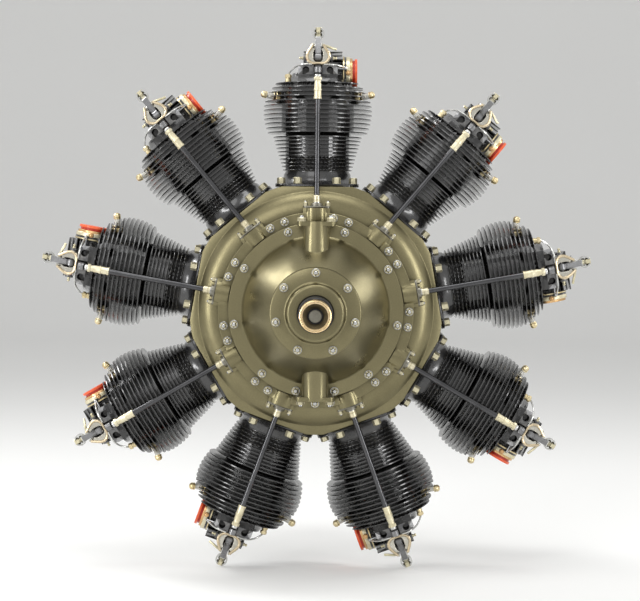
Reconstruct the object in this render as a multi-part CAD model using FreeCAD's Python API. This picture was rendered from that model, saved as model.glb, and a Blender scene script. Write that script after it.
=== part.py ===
import FreeCAD, Part
import math
import os

Vector = FreeCAD.Vector

# Nine-cylinder air-cooled radial engine, all sizes in millimetres.
# The crank axis lies along Y with the propeller end towards -Y, and Z is up.
# The origin is the middle of the bolt circle on the rear mounting face.
# "forward" is a distance in front of the cylinder row, measured along the crank axis.
# "height" is a distance from the crank axis along a cylinder's own axis.

# Main sizes
CYLINDER_COUNT = 9
BORE = 122.0
STROKE = 152.0
ROW_TO_MOUNT = 150.0

# Clearances
RUNNING_GAP = 0.05
FIT_GAP = 0.03
FACE_GAP = 0.3
VALVE_LASH = 0.35

# Crankcase
PAD_HEIGHT = 249.0
CASE_CORNER_RADIUS = 259.0
CASE_HALF_DEPTH = 92.0
CASE_WALL = 22.0
DOME_EDGE_RADIUS = 240.0
DOME_EDGE_FILLET = 5.0
DOME_DEPTH = 20.0
DOME_BULGE = 5.0
BEARING_WALL_THICKNESS = 12.0
BEARING_WALL_CLEARANCE = 3.0
JOINT_WALL = 19.0

# Cam case in front of the crankcase
CAM_CASE_RADIUS = 197.0
CAM_CASE_DEPTH = 40.0
CAM_CASE_LIP = 21.0
CAM_CASE_LIP_DEPTH = 10.0
GUIDE_WIDTH = 54.0
GUIDE_DEPTH = 33.0
GUIDE_SEAT_RISE = 8.0
GUIDE_BLOCK_THICKNESS = 4.0
GUIDE_COLLAR_RADIUS = 12.5
GUIDE_COLLAR_LENGTH = 6.0
GUIDE_TUBE_RADIUS = 13.0
GUIDE_TUBE_LENGTH = 38.0
GUIDE_NUT_OFFSET = 22.5

# Nose cone, thrust cover and the two cone bosses
NOSE_FLANGE_STEP = 21.5
NOSE_FLANGE_THICKNESS = 10.0
NOSE_BOLT_INSET = 9.5
CONE_BASE_INSET = 20.0
CONE_TOP_RADIUS = 90.0
CONE_DEPTH = 100.0
CONE_WALL = 9.0
CONE_STEP = 4.0
BOSS_TUBE_RADIUS = 26.0
BOSS_FLANGE_WIDTH = 76.0
BOSS_FLANGE_DEPTH = 46.0
BOSS_FLANGE_THICKNESS = 9.0
BOSS_TOP_HEIGHT = 178.0
BOSS_SETBACK = 34.0
THRUST_COVER_RADIUS = 89.0
THRUST_COVER_THICKNESS = 14.0
THRUST_HUB_RADIUS = 57.0
THRUST_HUB_DEPTH = 16.0
THRUST_HUB_FILLET = 6.0
THRUST_HUB_ROUND = 4.0
THRUST_BOLT_RADIUS = 79.0
THRUST_BOLT_COUNT = 7

# Propeller shaft and its nut
SHAFT_RADIUS = 35.0
PROP_SEAT_RADIUS = 34.0
SHAFT_OVERHANG = 66.0
SHAFT_BORE_RADIUS = 21.0
PROP_NUT_RADIUS = 31.0
PROP_NUT_LENGTH = 36.0
PROP_NUT_BORE = 22.0
PROP_PLUG_RADIUS = 12.0
PROP_PLUG_LENGTH = 6.0
PROP_NUT_ROUND = 3.0
PROP_NUT_CUP_DEPTH = 14.0
PROP_NUT_TAPER = 2.0

# Cylinder barrel
BASE_FLANGE_THICKNESS = 6.0
BASE_FLANGE_HALF_WIDTH = 86.0
BASE_FLANGE_CORNER = 34.0
BARREL_WALL = 5.5
NECK_LENGTH = 29.0
NECK_RADIUS = 70.0
SKIRT_LENGTH = 40.0
BARREL_FIN_COUNT = 10
BARREL_FIN_PITCH = 7.5
BARREL_FIN_FIRST_RADIUS = 72.0
BARREL_FIN_LAST_RADIUS = 92.0
BASE_STUD_RADIUS = 84.0
BASE_STUD_SPREAD = 28.2
BASE_CORNERS = 4

# Edges and small forms that several pieces share
CHAMFER = 2.0
SMALL_CHAMFER = 1.0
POINT_TOLERANCE = 0.001
SHOULDER_ANGLE = 45.0
FULL_TURN = 360.0
HEX_SIDES = 6
ACCESSORY_FLANGE = 7.0

# Fin section
FIN_ROOT_THICKNESS = 3.6
FIN_TIP_THICKNESS = 2.0

# Cylinder head
HEAD_GAP = 7.5
HEAD_SCREW_DEPTH = 68.0
HEAD_WALL = 9.0
HEAD_FIN_COUNT = 12
HEAD_FIN_PITCH = 9.2
HEAD_FIN_WIDEST = 113.0
HEAD_FIN_WIDEST_RISE = 46.0
HEAD_FIN_UPPER_DROP = 0.00755
HEAD_FIN_LOWER_DROP = 0.0047
CHAMBER_DEPTH = 20.0
CHAMBER_CURVE_RADIUS = 48.8
CHAMBER_CURVE_DEPTH = 14.0
VALVE_SEAT_RADIUS = 24.0
PORT_RADIUS = 24.0
PORT_MOUTH_RADIUS = 26.0
PORT_RELIEF_RADIUS = 28.0
PORT_RELIEF_DEPTH = 1.0
PORT_RISE = 37.0
PORT_WALL = 7.0
PORT_LENGTH = 58.0
PORT_SPOT_GAP = 1.5
PORT_FIN_COUNT = 5
PORT_FIN_PITCH = 7.4
PORT_FIN_RISE = 44.0
PORT_FIN_LEFT = -30.0
PORT_FIN_RIGHT = 50.0
PORT_FIN_DEPTH = 30.0
GUIDE_BOSS_RADIUS = 27.0
SPRING_WELL_DEPTH = 12.0
SPRING_WELL_STEP = 1.0

# Side port flange and its blank
PORT_FLANGE_RADIUS = 36.0
PORT_FLANGE_THICKNESS = 8.0
PORT_RING_THICKNESS = 5.0
PORT_RING_RADIUS = 33.0
BLANK_DRUM_RADIUS = 28.5
BLANK_DRUM_LENGTH = 5.0
BLANK_DISC_RADIUS = 31.5
BLANK_DISC_THICKNESS = 5.0
BLANK_SPIGOT_LENGTH = 6.0
OPEN_PORT_CYLINDER = 2

# Spark plugs
PLUG_FORWARD_ANGLE = 15.0
PLUG_TILT = 11.0
PLUG_DROP = 10.0
PLUG_START = 64.0
PLUG_THREAD_RADIUS = 7.0
PLUG_SEAT_DISTANCE = 84.0
PLUG_HEX_RADIUS = 10.0
PLUG_HEX_LENGTH = 8.0
PLUG_BODY_RADIUS = 6.5
PLUG_BODY_LENGTH = 20.0
PLUG_CAP_RADIUS = 7.5
PLUG_CAP_LENGTH = 11.5
PLUG_POCKET_RADIUS = 15.0

# Rocker gear, in the plane through the cylinder axis and the crank axis
FULCRUM_FORWARD = 55.0
FULCRUM_RISE = 28.0
FULCRUM_PIN_RADIUS = 5.0
FULCRUM_PIN_HEAD = 8.0
FULCRUM_PIN_HEAD_LENGTH = 4.0
ROCKER_HUB_RADIUS = 11.0
ROCKER_WIDTH = 11.5
ROCKER_WEB = 3.5
ROCKER_POCKET_DEPTH = 6.0
ROCKER_ELBOW_FORWARD = 34.0
ROCKER_ELBOW_RISE = 41.0
ROCKER_TIP_RISE = 15.0
ROCKER_ARM_DEPTH = 12.0
ROCKER_LEG_DEPTH = 12.0
ROCKER_TOE_DROP = 24.0
ROCKER_TOE_DEPTH = 11.0
TIP_EYE_RADIUS = 12.5
TIP_EYE_WALL = 3.0
TIP_EYE_DEPTH = 13.0
ADJUSTER_WIDTH = 13.6
ADJUSTER_RISE = 12.0
ADJUSTER_BODY_DROP = 9.0
ADJUSTER_FOOT_RADIUS = 5.0
BRACKET_DROP = 14.0
BRACKET_RISE = 29.0
BRACKET_HALF_WIDTH = 26.0
BRACKET_WIDEST_RISE = 2.0
BRACKET_DEPTH = 34.0
BRACKET_WINDOW_HALF_WIDTH = 10.0
BRACKET_STRAP = 4.0
BRACKET_FOOT_HALF_WIDTH = 13.0
BRACKET_LOWER_CURVE = 23.4
BRACKET_LOWER_RISE = 7.8
BRACKET_UPPER_CURVE = 20.8
SADDLE_HALF_WIDTH = 40.0
SADDLE_SLOT_HALF_WIDTH = 9.0
SADDLE_DROP = 34.0
SADDLE_DEPTH = 40.0
SADDLE_HOOK_BORE = 7.0
SADDLE_BAR_THICKNESS = 4.0
SADDLE_SHOULDER_WIDTH = 10.0
SADDLE_SHOULDER_DROP = 3.0

# Pushrods and tappets
PUSHROD_FORWARD = 132.0
PUSHROD_RADIUS = 5.5
PUSHROD_BALL_DROP = 12.0
PUSHROD_BALL_RADIUS = 6.0
PUSHROD_NUT_DROP = 6.0
PUSHROD_NUT_LENGTH = 8.0
PUSHROD_UPPER_FERRULE_DROP = 25.0
PUSHROD_FERRULE_LENGTH = 21.0
PUSHROD_FERRULE_RADIUS = 8.0
PUSHROD_BODY_RADIUS = 7.0
PUSHROD_LOWER_FERRULE_LENGTH = 14.0
PUSHROD_LOWER_FERRULE_RADIUS = 7.5
TAPPET_RADIUS = 8.0
TAPPET_RISE = 12.0
PUSHROD_TRAVEL = 8.0

# Valve, guide and spring
VALVE_STEM_RADIUS = 5.0
VALVE_TIP_DROP = 16.0
VALVE_HEAD_RADIUS = 27.0
VALVE_HEAD_THICKNESS = 5.0
VALVE_HEAD_GAP = 0.2
VALVE_FILLET_HEIGHT = 16.2
VALVE_TRAVEL = 6.2
VALVE_GUIDE_WALL = 3.5
VALVE_GUIDE_STEP = 1.0
SPRING_RADIUS = 16.5
SPRING_WIRE = 3.2
SPRING_TURNS = 5.0
RETAINER_DROP = 8.0
RETAINER_THICKNESS = 4.0
RETAINER_RADIUS = 18.0

# Crankshaft
CRANKPIN_RADIUS = 30.0
CRANKPIN_HALF_LENGTH = 28.0
WEB_THICKNESS = 28.0
WEB_HUB_RADIUS = 48.0
WEB_PIN_RADIUS = 42.0
COUNTERWEIGHT_RADIUS = 145.0
COUNTERWEIGHT_ANGLE = 104.0
JOURNAL_END = 112.0
BEARING_OUTER_RADIUS = 62.0
BEARING_LENGTH = 24.0
BEARING_RACE = 8.0

# Master rod, articulated rods and their pins
MASTER_HUB_RADIUS = 40.0
KNUCKLE_RADIUS = 59.0
KNUCKLE_PIN_RADIUS = 9.0
MASTER_FLANGE_RADIUS = 75.0
MASTER_FLANGE_THICKNESS = 11.0
CROWN_CLEARANCE = 61.0
ROD_EYE_RADIUS = 17.0
ROD_SMALL_EYE_RADIUS = 19.0
ROD_EYE_WIDTH = 21.0
ROD_BEAM_WIDTH = 18.0
ROD_BEAM_HEIGHT = 24.0
ROD_BEAM_WEB = 5.0
GUDGEON_RADIUS = 12.0

# Pistons and rings
PISTON_GAP = 0.1
CROWN_ABOVE_GUDGEON = 42.0
PISTON_SKIRT = 44.0
PISTON_WALL = 6.0
CROWN_THICKNESS = 10.0
RING_COUNT = 3
RING_THICKNESS = 3.0
RING_PITCH = 8.0
RING_DEPTH = 4.0
RING_GAP = 0.02

# Cam drum and its gear train
CAM_LOBE_COUNT = 4
CAM_RADIUS = 140.0
CAM_THICKNESS = 14.0
CAM_HUB_RADIUS = 46.0
CAM_HUB_LENGTH = 34.0
CAM_LOBE_SPREAD = 26.0
CAM_NOSE_SPREAD = 6.5

# Rear cover, mounting face and accessories
REAR_FLANGE_RADIUS = 202.5
REAR_RING_RADIUS = 184.5
REAR_STEP_DEPTH = 12.0
REAR_DRUM_RADIUS = 132.0
REAR_DRUM_LENGTH = 66.0
REAR_DRUM_WALL = 10.0
MOUNT_HOLE_RADIUS = 5.25
MOUNT_BOLT_RADIUS = 176.0
MOUNT_HOLE_DEPTH = 24.0
MAGNETO_OFFSET = 70.0
MAGNETO_HEIGHT = 42.0
MAGNETO_RADIUS = 40.0
MAGNETO_LENGTH = 118.0
MAGNETO_BASE_WIDTH = 74.0
MAGNETO_CAP_RADIUS = 33.0
MAGNETO_CAP_LENGTH = 34.0
OIL_PUMP_DROP = 12.0
OIL_PUMP_RADIUS = 26.0
OIL_PUMP_LENGTH = 60.0
CARBURETTOR_DROP = 86.0
CARBURETTOR_REACH = 64.0
CARBURETTOR_BORE = 25.0
CARBURETTOR_WALL = 6.0
CARBURETTOR_LENGTH = 96.0
CARBURETTOR_ELBOW_RADIUS = 34.0
FLOAT_BOWL_RADIUS = 30.0
FLOAT_BOWL_LENGTH = 62.0
THROTTLE_SPINDLE_RADIUS = 4.0
THROTTLE_THICKNESS = 2.5
THROTTLE_LEVER_LENGTH = 34.0
THROTTLE_LEVER_WIDTH = 12.0
THROTTLE_DROP = 19.2

# Fasteners
CASE_NUT_FLATS = 15.0
CASE_NUT_HEIGHT = 13.0
WASHER_RADIUS = 8.5
WASHER_THICKNESS = 1.5
COVER_NUT_FLATS = 13.0
COVER_NUT_HEIGHT = 7.0
COVER_STUD_RADIUS = 3.6
COVER_STUD_END = 2.5
SMALL_NUT_FLATS = 9.0
SMALL_NUT_HEIGHT = 8.0
RING_SCREW_STEP = 9.5
LOWER_SCREW_STEP = 13.5

# Places that follow from the sizes above
HEX_CORNER = 1 / math.sqrt(3)
ARC_MIDDLE = 1 - math.sqrt(1 / 2)
HALF_TURN = FULL_TURN / 2
SECTOR = FULL_TURN / CYLINDER_COUNT
THROW = STROKE / 2
FLANGE_TOP = PAD_HEIGHT + BASE_FLANGE_THICKNESS
FIRST_BARREL_FIN = FLANGE_TOP + NECK_LENGTH
LAST_BARREL_FIN = FIRST_BARREL_FIN + (BARREL_FIN_COUNT - 1) * BARREL_FIN_PITCH
HEAD_BOTTOM = LAST_BARREL_FIN + HEAD_GAP
BARREL_TOP = HEAD_BOTTOM + HEAD_SCREW_DEPTH
LINER_RADIUS = BORE / 2 + BARREL_WALL
HEAD_RADIUS = LINER_RADIUS + HEAD_WALL
LAST_HEAD_FIN = HEAD_BOTTOM + FIN_ROOT_THICKNESS / 2 + (HEAD_FIN_COUNT - 1) * HEAD_FIN_PITCH
VALVE_SEAT_HEIGHT = BARREL_TOP + CHAMBER_DEPTH
HEAD_FIN_WIDEST_HEIGHT = HEAD_BOTTOM + HEAD_FIN_WIDEST_RISE
PLUG_HEIGHT = BARREL_TOP - PLUG_DROP
PORT_HEIGHT = VALVE_SEAT_HEIGHT + PORT_RISE
PORT_FIN_TOP = PORT_HEIGHT + PORT_FIN_RISE
SPRING_WELL_TOP = PORT_FIN_TOP - SPRING_WELL_STEP
VALVE_GUIDE_TOP = PORT_FIN_TOP - VALVE_GUIDE_STEP
FULCRUM_HEIGHT = PORT_HEIGHT + FULCRUM_RISE
SADDLE_BOTTOM = FULCRUM_HEIGHT - SADDLE_DROP
BRACKET_BOTTOM = FULCRUM_HEIGHT - BRACKET_DROP
BRACKET_WIDEST_HEIGHT = FULCRUM_HEIGHT + BRACKET_WIDEST_RISE
BRACKET_TOP = FULCRUM_HEIGHT + BRACKET_RISE
ROCKER_TOE_HEIGHT = FULCRUM_HEIGHT - ROCKER_TOE_DROP
ROCKER_ELBOW_HEIGHT = FULCRUM_HEIGHT + ROCKER_ELBOW_RISE
ROCKER_TIP_HEIGHT = ROCKER_ELBOW_HEIGHT + ROCKER_TIP_RISE
ADJUSTER_TOP = ROCKER_TIP_HEIGHT + ADJUSTER_RISE
ADJUSTER_BODY_BOTTOM = ROCKER_TIP_HEIGHT - ADJUSTER_BODY_DROP
PUSHROD_BALL_TOP = ROCKER_TOE_HEIGHT - PUSHROD_BALL_DROP
PUSHROD_NUT_TOP = PUSHROD_BALL_TOP - PUSHROD_NUT_DROP
PUSHROD_UPPER_FERRULE_TOP = PUSHROD_NUT_TOP - PUSHROD_UPPER_FERRULE_DROP
VALVE_TOP = ROCKER_TIP_HEIGHT - VALVE_TIP_DROP
RETAINER_TOP = VALVE_TOP - RETAINER_DROP
NOSE_FLANGE_RADIUS = CAM_CASE_RADIUS - NOSE_FLANGE_STEP
NOSE_BOLT_RADIUS = NOSE_FLANGE_RADIUS - NOSE_BOLT_INSET
CONE_BASE_RADIUS = NOSE_BOLT_RADIUS - CONE_BASE_INSET
GUIDE_SEAT_HEIGHT = CAM_CASE_RADIUS + GUIDE_SEAT_RISE
TAPPET_TOP = GUIDE_SEAT_HEIGHT + TAPPET_RISE
PUSHROD_LOWER_FERRULE_TOP = TAPPET_TOP + PUSHROD_LOWER_FERRULE_LENGTH
ROD_LENGTH = BARREL_TOP - CROWN_CLEARANCE - CROWN_ABOVE_GUDGEON - THROW
CASE_FRONT = CASE_HALF_DEPTH + DOME_DEPTH
CAM_CASE_FRONT = CASE_FRONT + CAM_CASE_DEPTH
NOSE_FLANGE_FRONT = CAM_CASE_FRONT + NOSE_FLANGE_THICKNESS
CONE_FRONT = NOSE_FLANGE_FRONT + CONE_DEPTH
COVER_FRONT = CONE_FRONT + THRUST_COVER_THICKNESS
HUB_FRONT = COVER_FRONT + THRUST_HUB_DEPTH
SHAFT_FRONT = HUB_FRONT + SHAFT_OVERHANG
BEARING_WALL_BACK = LINER_RADIUS + BEARING_WALL_CLEARANCE
BEARING_WALL_FRONT = BEARING_WALL_BACK + BEARING_WALL_THICKNESS
WEB_BACK = CRANKPIN_HALF_LENGTH + FACE_GAP
WEB_FRONT = WEB_BACK + WEB_THICKNESS
PORT_FLANGE_END = PORT_LENGTH + PORT_FLANGE_THICKNESS
PORT_RING_END = PORT_FLANGE_END + PORT_RING_THICKNESS
BRACKET_BACK = FULCRUM_FORWARD - BRACKET_DEPTH / 2
BRACKET_FRONT = FULCRUM_FORWARD + BRACKET_DEPTH / 2
PAD_BLOCK_BACK = PORT_RADIUS + PORT_WALL
GUIDE_OUTER = GUIDE_SEAT_HEIGHT + GUIDE_BLOCK_THICKNESS
CAM_LOBE_HEIGHT = CAM_RADIUS + PUSHROD_TRAVEL
TAPPET_FOOT = CAM_LOBE_HEIGHT + FACE_GAP
REAR_JOINT = -CASE_FRONT


def along(forward):
    """Y of a plane that lies this far in front of the cylinder row."""
    return -(ROW_TO_MOUNT + forward)


def crank_place(radius, forward):
    return Vector(radius, along(forward), 0)


def barrel_place(radius, height):
    return Vector(radius, along(0), height)


def side_place(forward, height):
    return Vector(0, along(forward), height)


def front_place(across, height):
    return Vector(across, along(0), height)


def add_line(edges, start, end):
    if start.distanceToPoint(end) > POINT_TOLERANCE:
        edges.append(Part.makeLine(start, end))


def outline(place, start, *steps):
    """Closed wire of lines and of arcs, an arc being given as a pair (point on it, end point)."""
    edges = []
    here = start
    for step in steps:
        if isinstance(step[0], tuple):
            middle, end = step
            edges.append(Part.Arc(place(*here), place(*middle), place(*end)).toShape())
        else:
            end = step
            add_line(edges, place(*here), place(*end))
        here = end
    add_line(edges, place(*here), place(*start))
    return Part.Wire(edges)


def turned_on_crank(start, *steps):
    """Solid of revolution about the crank axis from (radius, forward) points."""
    face = Part.Face(outline(crank_place, start, *steps))
    return face.revolve(Vector(0, 0, 0), Vector(0, 1, 0), FULL_TURN)


def turned_on_barrel(start, *steps):
    """Solid of revolution about the top cylinder's axis from (radius, height) points."""
    face = Part.Face(outline(barrel_place, start, *steps))
    return face.revolve(Vector(0, along(0), 0), Vector(0, 0, 1), FULL_TURN)


def side_plate(width, start, *steps):
    """Plate across X, centred on the cylinder axis, from (forward, height) points."""
    face = Part.Face(outline(side_place, start, *steps))
    plate = face.extrude(Vector(width, 0, 0))
    plate.translate(Vector(-width / 2, 0, 0))
    return plate


def front_plate(back, front, start, *steps):
    """Plate across the crank axis between two planes, from (across, height) points."""
    face = Part.Face(outline(front_place, start, *steps))
    face.translate(Vector(0, -back, 0))
    return face.extrude(Vector(0, -(front - back), 0))


def crank_rod(radius, back, front, across=0, height=0):
    """Round bar parallel to the crank axis."""
    base = Vector(across, along(back), height)
    return Part.makeCylinder(radius, front - back, base, Vector(0, -1, 0))


def barrel_rod(radius, bottom, top, across=0, forward=0):
    """Round bar parallel to the top cylinder's axis."""
    return Part.makeCylinder(radius, top - bottom, Vector(across, along(forward), bottom), Vector(0, 0, 1))


def cross_rod(radius, left, right, forward, height):
    """Round bar parallel to X."""
    return Part.makeCylinder(radius, right - left, Vector(left, along(forward), height), Vector(1, 0, 0))


def block(left, right, back, front, bottom, top):
    size = (right - left, front - back, top - bottom)
    return Part.makeBox(*size, Vector(left, along(front), bottom))


def hexagon(flats, length, base, direction):
    """Hexagonal prism with its base centre and direction given."""
    corner = flats * HEX_CORNER
    points = []
    for side in range(HEX_SIDES + 1):
        angle = 2 * math.pi * side / HEX_SIDES
        points.append(Vector(corner * math.cos(angle), corner * math.sin(angle), 0))
    prism = Part.Face(Part.makePolygon(points)).extrude(Vector(0, 0, length))
    turn = FreeCAD.Rotation(Vector(0, 0, 1), direction)
    prism.Placement = FreeCAD.Placement(base, turn)
    return prism


def on_crank(shape, angle):
    """Copy of a shape turned clockwise about the crank axis, as seen from the front."""
    copy = shape.copy()
    copy.rotate(Vector(0, 0, 0), Vector(0, 1, 0), angle)
    return copy


def per_cylinder(shape):
    return [on_crank(shape, SECTOR * number) for number in range(CYLINDER_COUNT)]


def polar(radius, angle, forward):
    """Point at a clock angle about the crank axis."""
    turn = math.radians(angle)
    return Vector(radius * math.sin(turn), along(forward), radius * math.cos(turn))


def fin_steps(root, heights, radii):
    """Comb outline of tapered fins, from the lowest fin to the highest."""
    steps = []
    for height, radius in zip(heights, radii):
        steps.append((root, height - FIN_ROOT_THICKNESS / 2))
        steps.append((radius, height - FIN_TIP_THICKNESS / 2))
        steps.append((radius, height + FIN_TIP_THICKNESS / 2))
        steps.append((root, height + FIN_ROOT_THICKNESS / 2))
    return steps


def upright_edges(shape):
    """The straight edges of a shape that run along the cylinder axis."""
    ways = [(edge, edge.tangentAt(0)) for edge in shape.Edges]
    return [edge for edge, way in ways if abs(way.z) > abs(way.x) + abs(way.y)]


def single_solid(shape):
    """The one solid of a boolean result, with its leftover seams merged."""
    clean = shape.removeSplitter()
    return clean.Solids[0] if len(clean.Solids) == 1 else clean


def case_shell():
    """Hollow outer form of the front half of the crankcase, before the pads and bores are cut."""
    inner = CASE_CORNER_RADIUS - CASE_WALL
    shoulder = DOME_EDGE_RADIUS + DOME_EDGE_FILLET
    joint_inner = CAM_CASE_RADIUS - JOINT_WALL
    middle_radius = (DOME_EDGE_RADIUS + CAM_CASE_RADIUS) / 2 + DOME_BULGE / 2
    dome_middle = (middle_radius, CASE_HALF_DEPTH + DOME_DEPTH / 2 + DOME_BULGE)
    wall_middle = (middle_radius - CASE_WALL / 2, CASE_HALF_DEPTH - DOME_BULGE)
    shell = turned_on_crank(
        (inner, 0),
        (CASE_CORNER_RADIUS, 0),
        (CASE_CORNER_RADIUS, CASE_HALF_DEPTH - DOME_EDGE_FILLET),
        (shoulder, CASE_HALF_DEPTH),
        (DOME_EDGE_RADIUS, CASE_HALF_DEPTH),
        (dome_middle, (CAM_CASE_RADIUS, CASE_FRONT)),
        (joint_inner, CASE_FRONT),
        (joint_inner, CASE_FRONT - JOINT_WALL),
        (wall_middle, (inner, BEARING_WALL_FRONT)),
    )
    return shell


def bearing_wall():
    """Wall that carries a main bearing, with a thicker rim round the bearing."""
    inner = CASE_CORNER_RADIUS - CASE_WALL
    rim = BEARING_OUTER_RADIUS + FIT_GAP
    return turned_on_crank(
        (rim, BEARING_WALL_BACK - BEARING_WALL_CLEARANCE),
        (rim + BEARING_RACE, BEARING_WALL_BACK - BEARING_WALL_CLEARANCE),
        (rim + BEARING_RACE + BEARING_WALL_CLEARANCE, BEARING_WALL_BACK),
        (inner, BEARING_WALL_BACK),
        (inner, BEARING_WALL_FRONT),
        (rim + BEARING_RACE, BEARING_WALL_FRONT),
        (rim + BEARING_RACE, BEARING_WALL_FRONT + BEARING_RACE),
        (rim, BEARING_WALL_FRONT + BEARING_RACE),
    )


def cut_pads(case):
    """Nine flat cylinder pads and the bores that the cylinder skirts drop into."""
    reach = CASE_CORNER_RADIUS - PAD_HEIGHT + CASE_WALL
    pad = block(-PAD_HEIGHT, PAD_HEIGHT, -CASE_FRONT, CASE_FRONT, PAD_HEIGHT, PAD_HEIGHT + reach)
    hole = barrel_rod(LINER_RADIUS + FIT_GAP, PAD_HEIGHT - 2 * SKIRT_LENGTH, PAD_HEIGHT + reach)
    for cutter in per_cylinder(pad) + per_cylinder(hole):
        case = case.cut(cutter)
    return case


def crankcase_front():
    return single_solid(cut_pads(case_shell().fuse(bearing_wall())))


def crankcase_rear():
    """The rear half is the front half mirrored in the cylinder row."""
    whole = crankcase_front()
    return whole.mirror(Vector(0, along(0), 0), Vector(0, 1, 0))


def cam_case():
    lip = CAM_CASE_RADIUS - JOINT_WALL
    case = turned_on_crank(
        (lip, CASE_FRONT),
        (CAM_CASE_RADIUS, CASE_FRONT),
        (CAM_CASE_RADIUS, CAM_CASE_FRONT - SMALL_CHAMFER),
        (CAM_CASE_RADIUS - SMALL_CHAMFER, CAM_CASE_FRONT),
        (lip - CAM_CASE_LIP, CAM_CASE_FRONT),
        (lip - CAM_CASE_LIP, CAM_CASE_FRONT - CAM_CASE_LIP_DEPTH),
        (lip, CAM_CASE_FRONT - CAM_CASE_LIP_DEPTH),
    )
    half = GUIDE_WIDTH / 2
    back = PUSHROD_FORWARD - GUIDE_DEPTH / 2
    front = PUSHROD_FORWARD + GUIDE_DEPTH / 2
    seat = block(-half, half, back, front, lip + FACE_GAP, GUIDE_SEAT_HEIGHT)
    above = GUIDE_SEAT_HEIGHT + JOINT_WALL
    clear = block(-half, half, back, front, GUIDE_SEAT_HEIGHT, above)
    hole = barrel_rod(GUIDE_TUBE_RADIUS + FIT_GAP, lip - JOINT_WALL, above, 0, PUSHROD_FORWARD)
    foot = NOSE_FLANGE_RADIUS + CHAMFER
    boss = barrel_rod(half, foot, GUIDE_SEAT_HEIGHT, 0, PUSHROD_FORWARD)
    boss = boss.common(block(-half, half, back, front + half, foot, GUIDE_SEAT_HEIGHT))
    for piece in per_cylinder(seat.fuse(boss)):
        case = case.fuse(piece)
    inside = crank_rod(lip, CASE_FRONT, CAM_CASE_FRONT - CAM_CASE_LIP_DEPTH)
    case = case.cut(inside)
    for piece in per_cylinder(clear) + per_cylinder(hole):
        case = case.cut(piece)
    return single_solid(case)


def cone_radius(forward):
    share = (forward - NOSE_FLANGE_FRONT - CONE_STEP) / (CONE_DEPTH - CONE_STEP)
    return CONE_BASE_RADIUS + share * (CONE_TOP_RADIUS - CONE_BASE_RADIUS)


def nose_cone():
    """Cone with its bolting flange and two pad bosses, above and below."""
    step = NOSE_FLANGE_FRONT + CONE_STEP
    waist = (step + CONE_FRONT) / 2
    shell = turned_on_crank(
        (CONE_BASE_RADIUS - CONE_WALL, CAM_CASE_FRONT),
        (NOSE_FLANGE_RADIUS, CAM_CASE_FRONT),
        (NOSE_FLANGE_RADIUS, NOSE_FLANGE_FRONT - SMALL_CHAMFER),
        (NOSE_FLANGE_RADIUS - SMALL_CHAMFER, NOSE_FLANGE_FRONT),
        (CONE_BASE_RADIUS + CONE_STEP, NOSE_FLANGE_FRONT),
        (CONE_BASE_RADIUS, step),
        ((cone_radius(waist) + CONE_STEP, waist), (CONE_TOP_RADIUS, CONE_FRONT)),
        (SHAFT_RADIUS + FACE_GAP, CONE_FRONT),
        (SHAFT_RADIUS + FACE_GAP, CONE_FRONT - CONE_WALL),
        (CONE_TOP_RADIUS - CONE_WALL, CONE_FRONT - CONE_WALL),
    )
    axis = NOSE_FLANGE_FRONT + BOSS_SETBACK
    inside = cone_radius(axis) - 2 * CONE_WALL
    tube = barrel_rod(BOSS_TUBE_RADIUS, inside, BOSS_TOP_HEIGHT, 0, axis)
    flange_bottom = BOSS_TOP_HEIGHT - BOSS_FLANGE_THICKNESS
    half = BOSS_FLANGE_WIDTH / 2
    back = axis - BOSS_FLANGE_DEPTH / 2
    flange = block(-half, half, back, axis + BOSS_FLANGE_DEPTH / 2, flange_bottom, BOSS_TOP_HEIGHT)
    flange = flange.makeFillet(BOSS_FLANGE_THICKNESS, upright_edges(flange))
    boss = tube.fuse(flange)
    hollow = turned_on_crank(
        (0, CAM_CASE_FRONT),
        (CONE_BASE_RADIUS - CONE_WALL, CAM_CASE_FRONT),
        (CONE_TOP_RADIUS - CONE_WALL, CONE_FRONT - CONE_WALL),
        (0, CONE_FRONT - CONE_WALL),
    )
    for angle in (0, HALF_TURN):
        shell = shell.fuse(on_crank(boss, angle))
    return single_solid(shell.cut(hollow))


def thrust_cover():
    """Round cover with a raised hub that holds the thrust bearing in the nose."""
    shaft_hole = SHAFT_RADIUS + FACE_GAP
    hollow = THRUST_HUB_FILLET * ARC_MIDDLE
    shaved = THRUST_HUB_ROUND * ARC_MIDDLE
    root_middle = (THRUST_HUB_RADIUS + hollow, COVER_FRONT + hollow)
    rim_middle = (THRUST_HUB_RADIUS - shaved, HUB_FRONT - shaved)
    return turned_on_crank(
        (shaft_hole, CONE_FRONT),
        (THRUST_COVER_RADIUS, CONE_FRONT),
        (THRUST_COVER_RADIUS, COVER_FRONT - CHAMFER),
        (THRUST_COVER_RADIUS - CHAMFER, COVER_FRONT),
        (THRUST_HUB_RADIUS + THRUST_HUB_FILLET, COVER_FRONT),
        (root_middle, (THRUST_HUB_RADIUS, COVER_FRONT + THRUST_HUB_FILLET)),
        (THRUST_HUB_RADIUS, HUB_FRONT - THRUST_HUB_ROUND),
        (rim_middle, (THRUST_HUB_RADIUS - THRUST_HUB_ROUND, HUB_FRONT)),
        (shaft_hole, HUB_FRONT),
    )


def barrel_fin_heights():
    return [FIRST_BARREL_FIN + BARREL_FIN_PITCH * number for number in range(BARREL_FIN_COUNT)]


def barrel_fin_radii():
    step = (BARREL_FIN_LAST_RADIUS - BARREL_FIN_FIRST_RADIUS) / (BARREL_FIN_COUNT - 1)
    return [BARREL_FIN_FIRST_RADIUS + step * number for number in range(BARREL_FIN_COUNT)]


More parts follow.
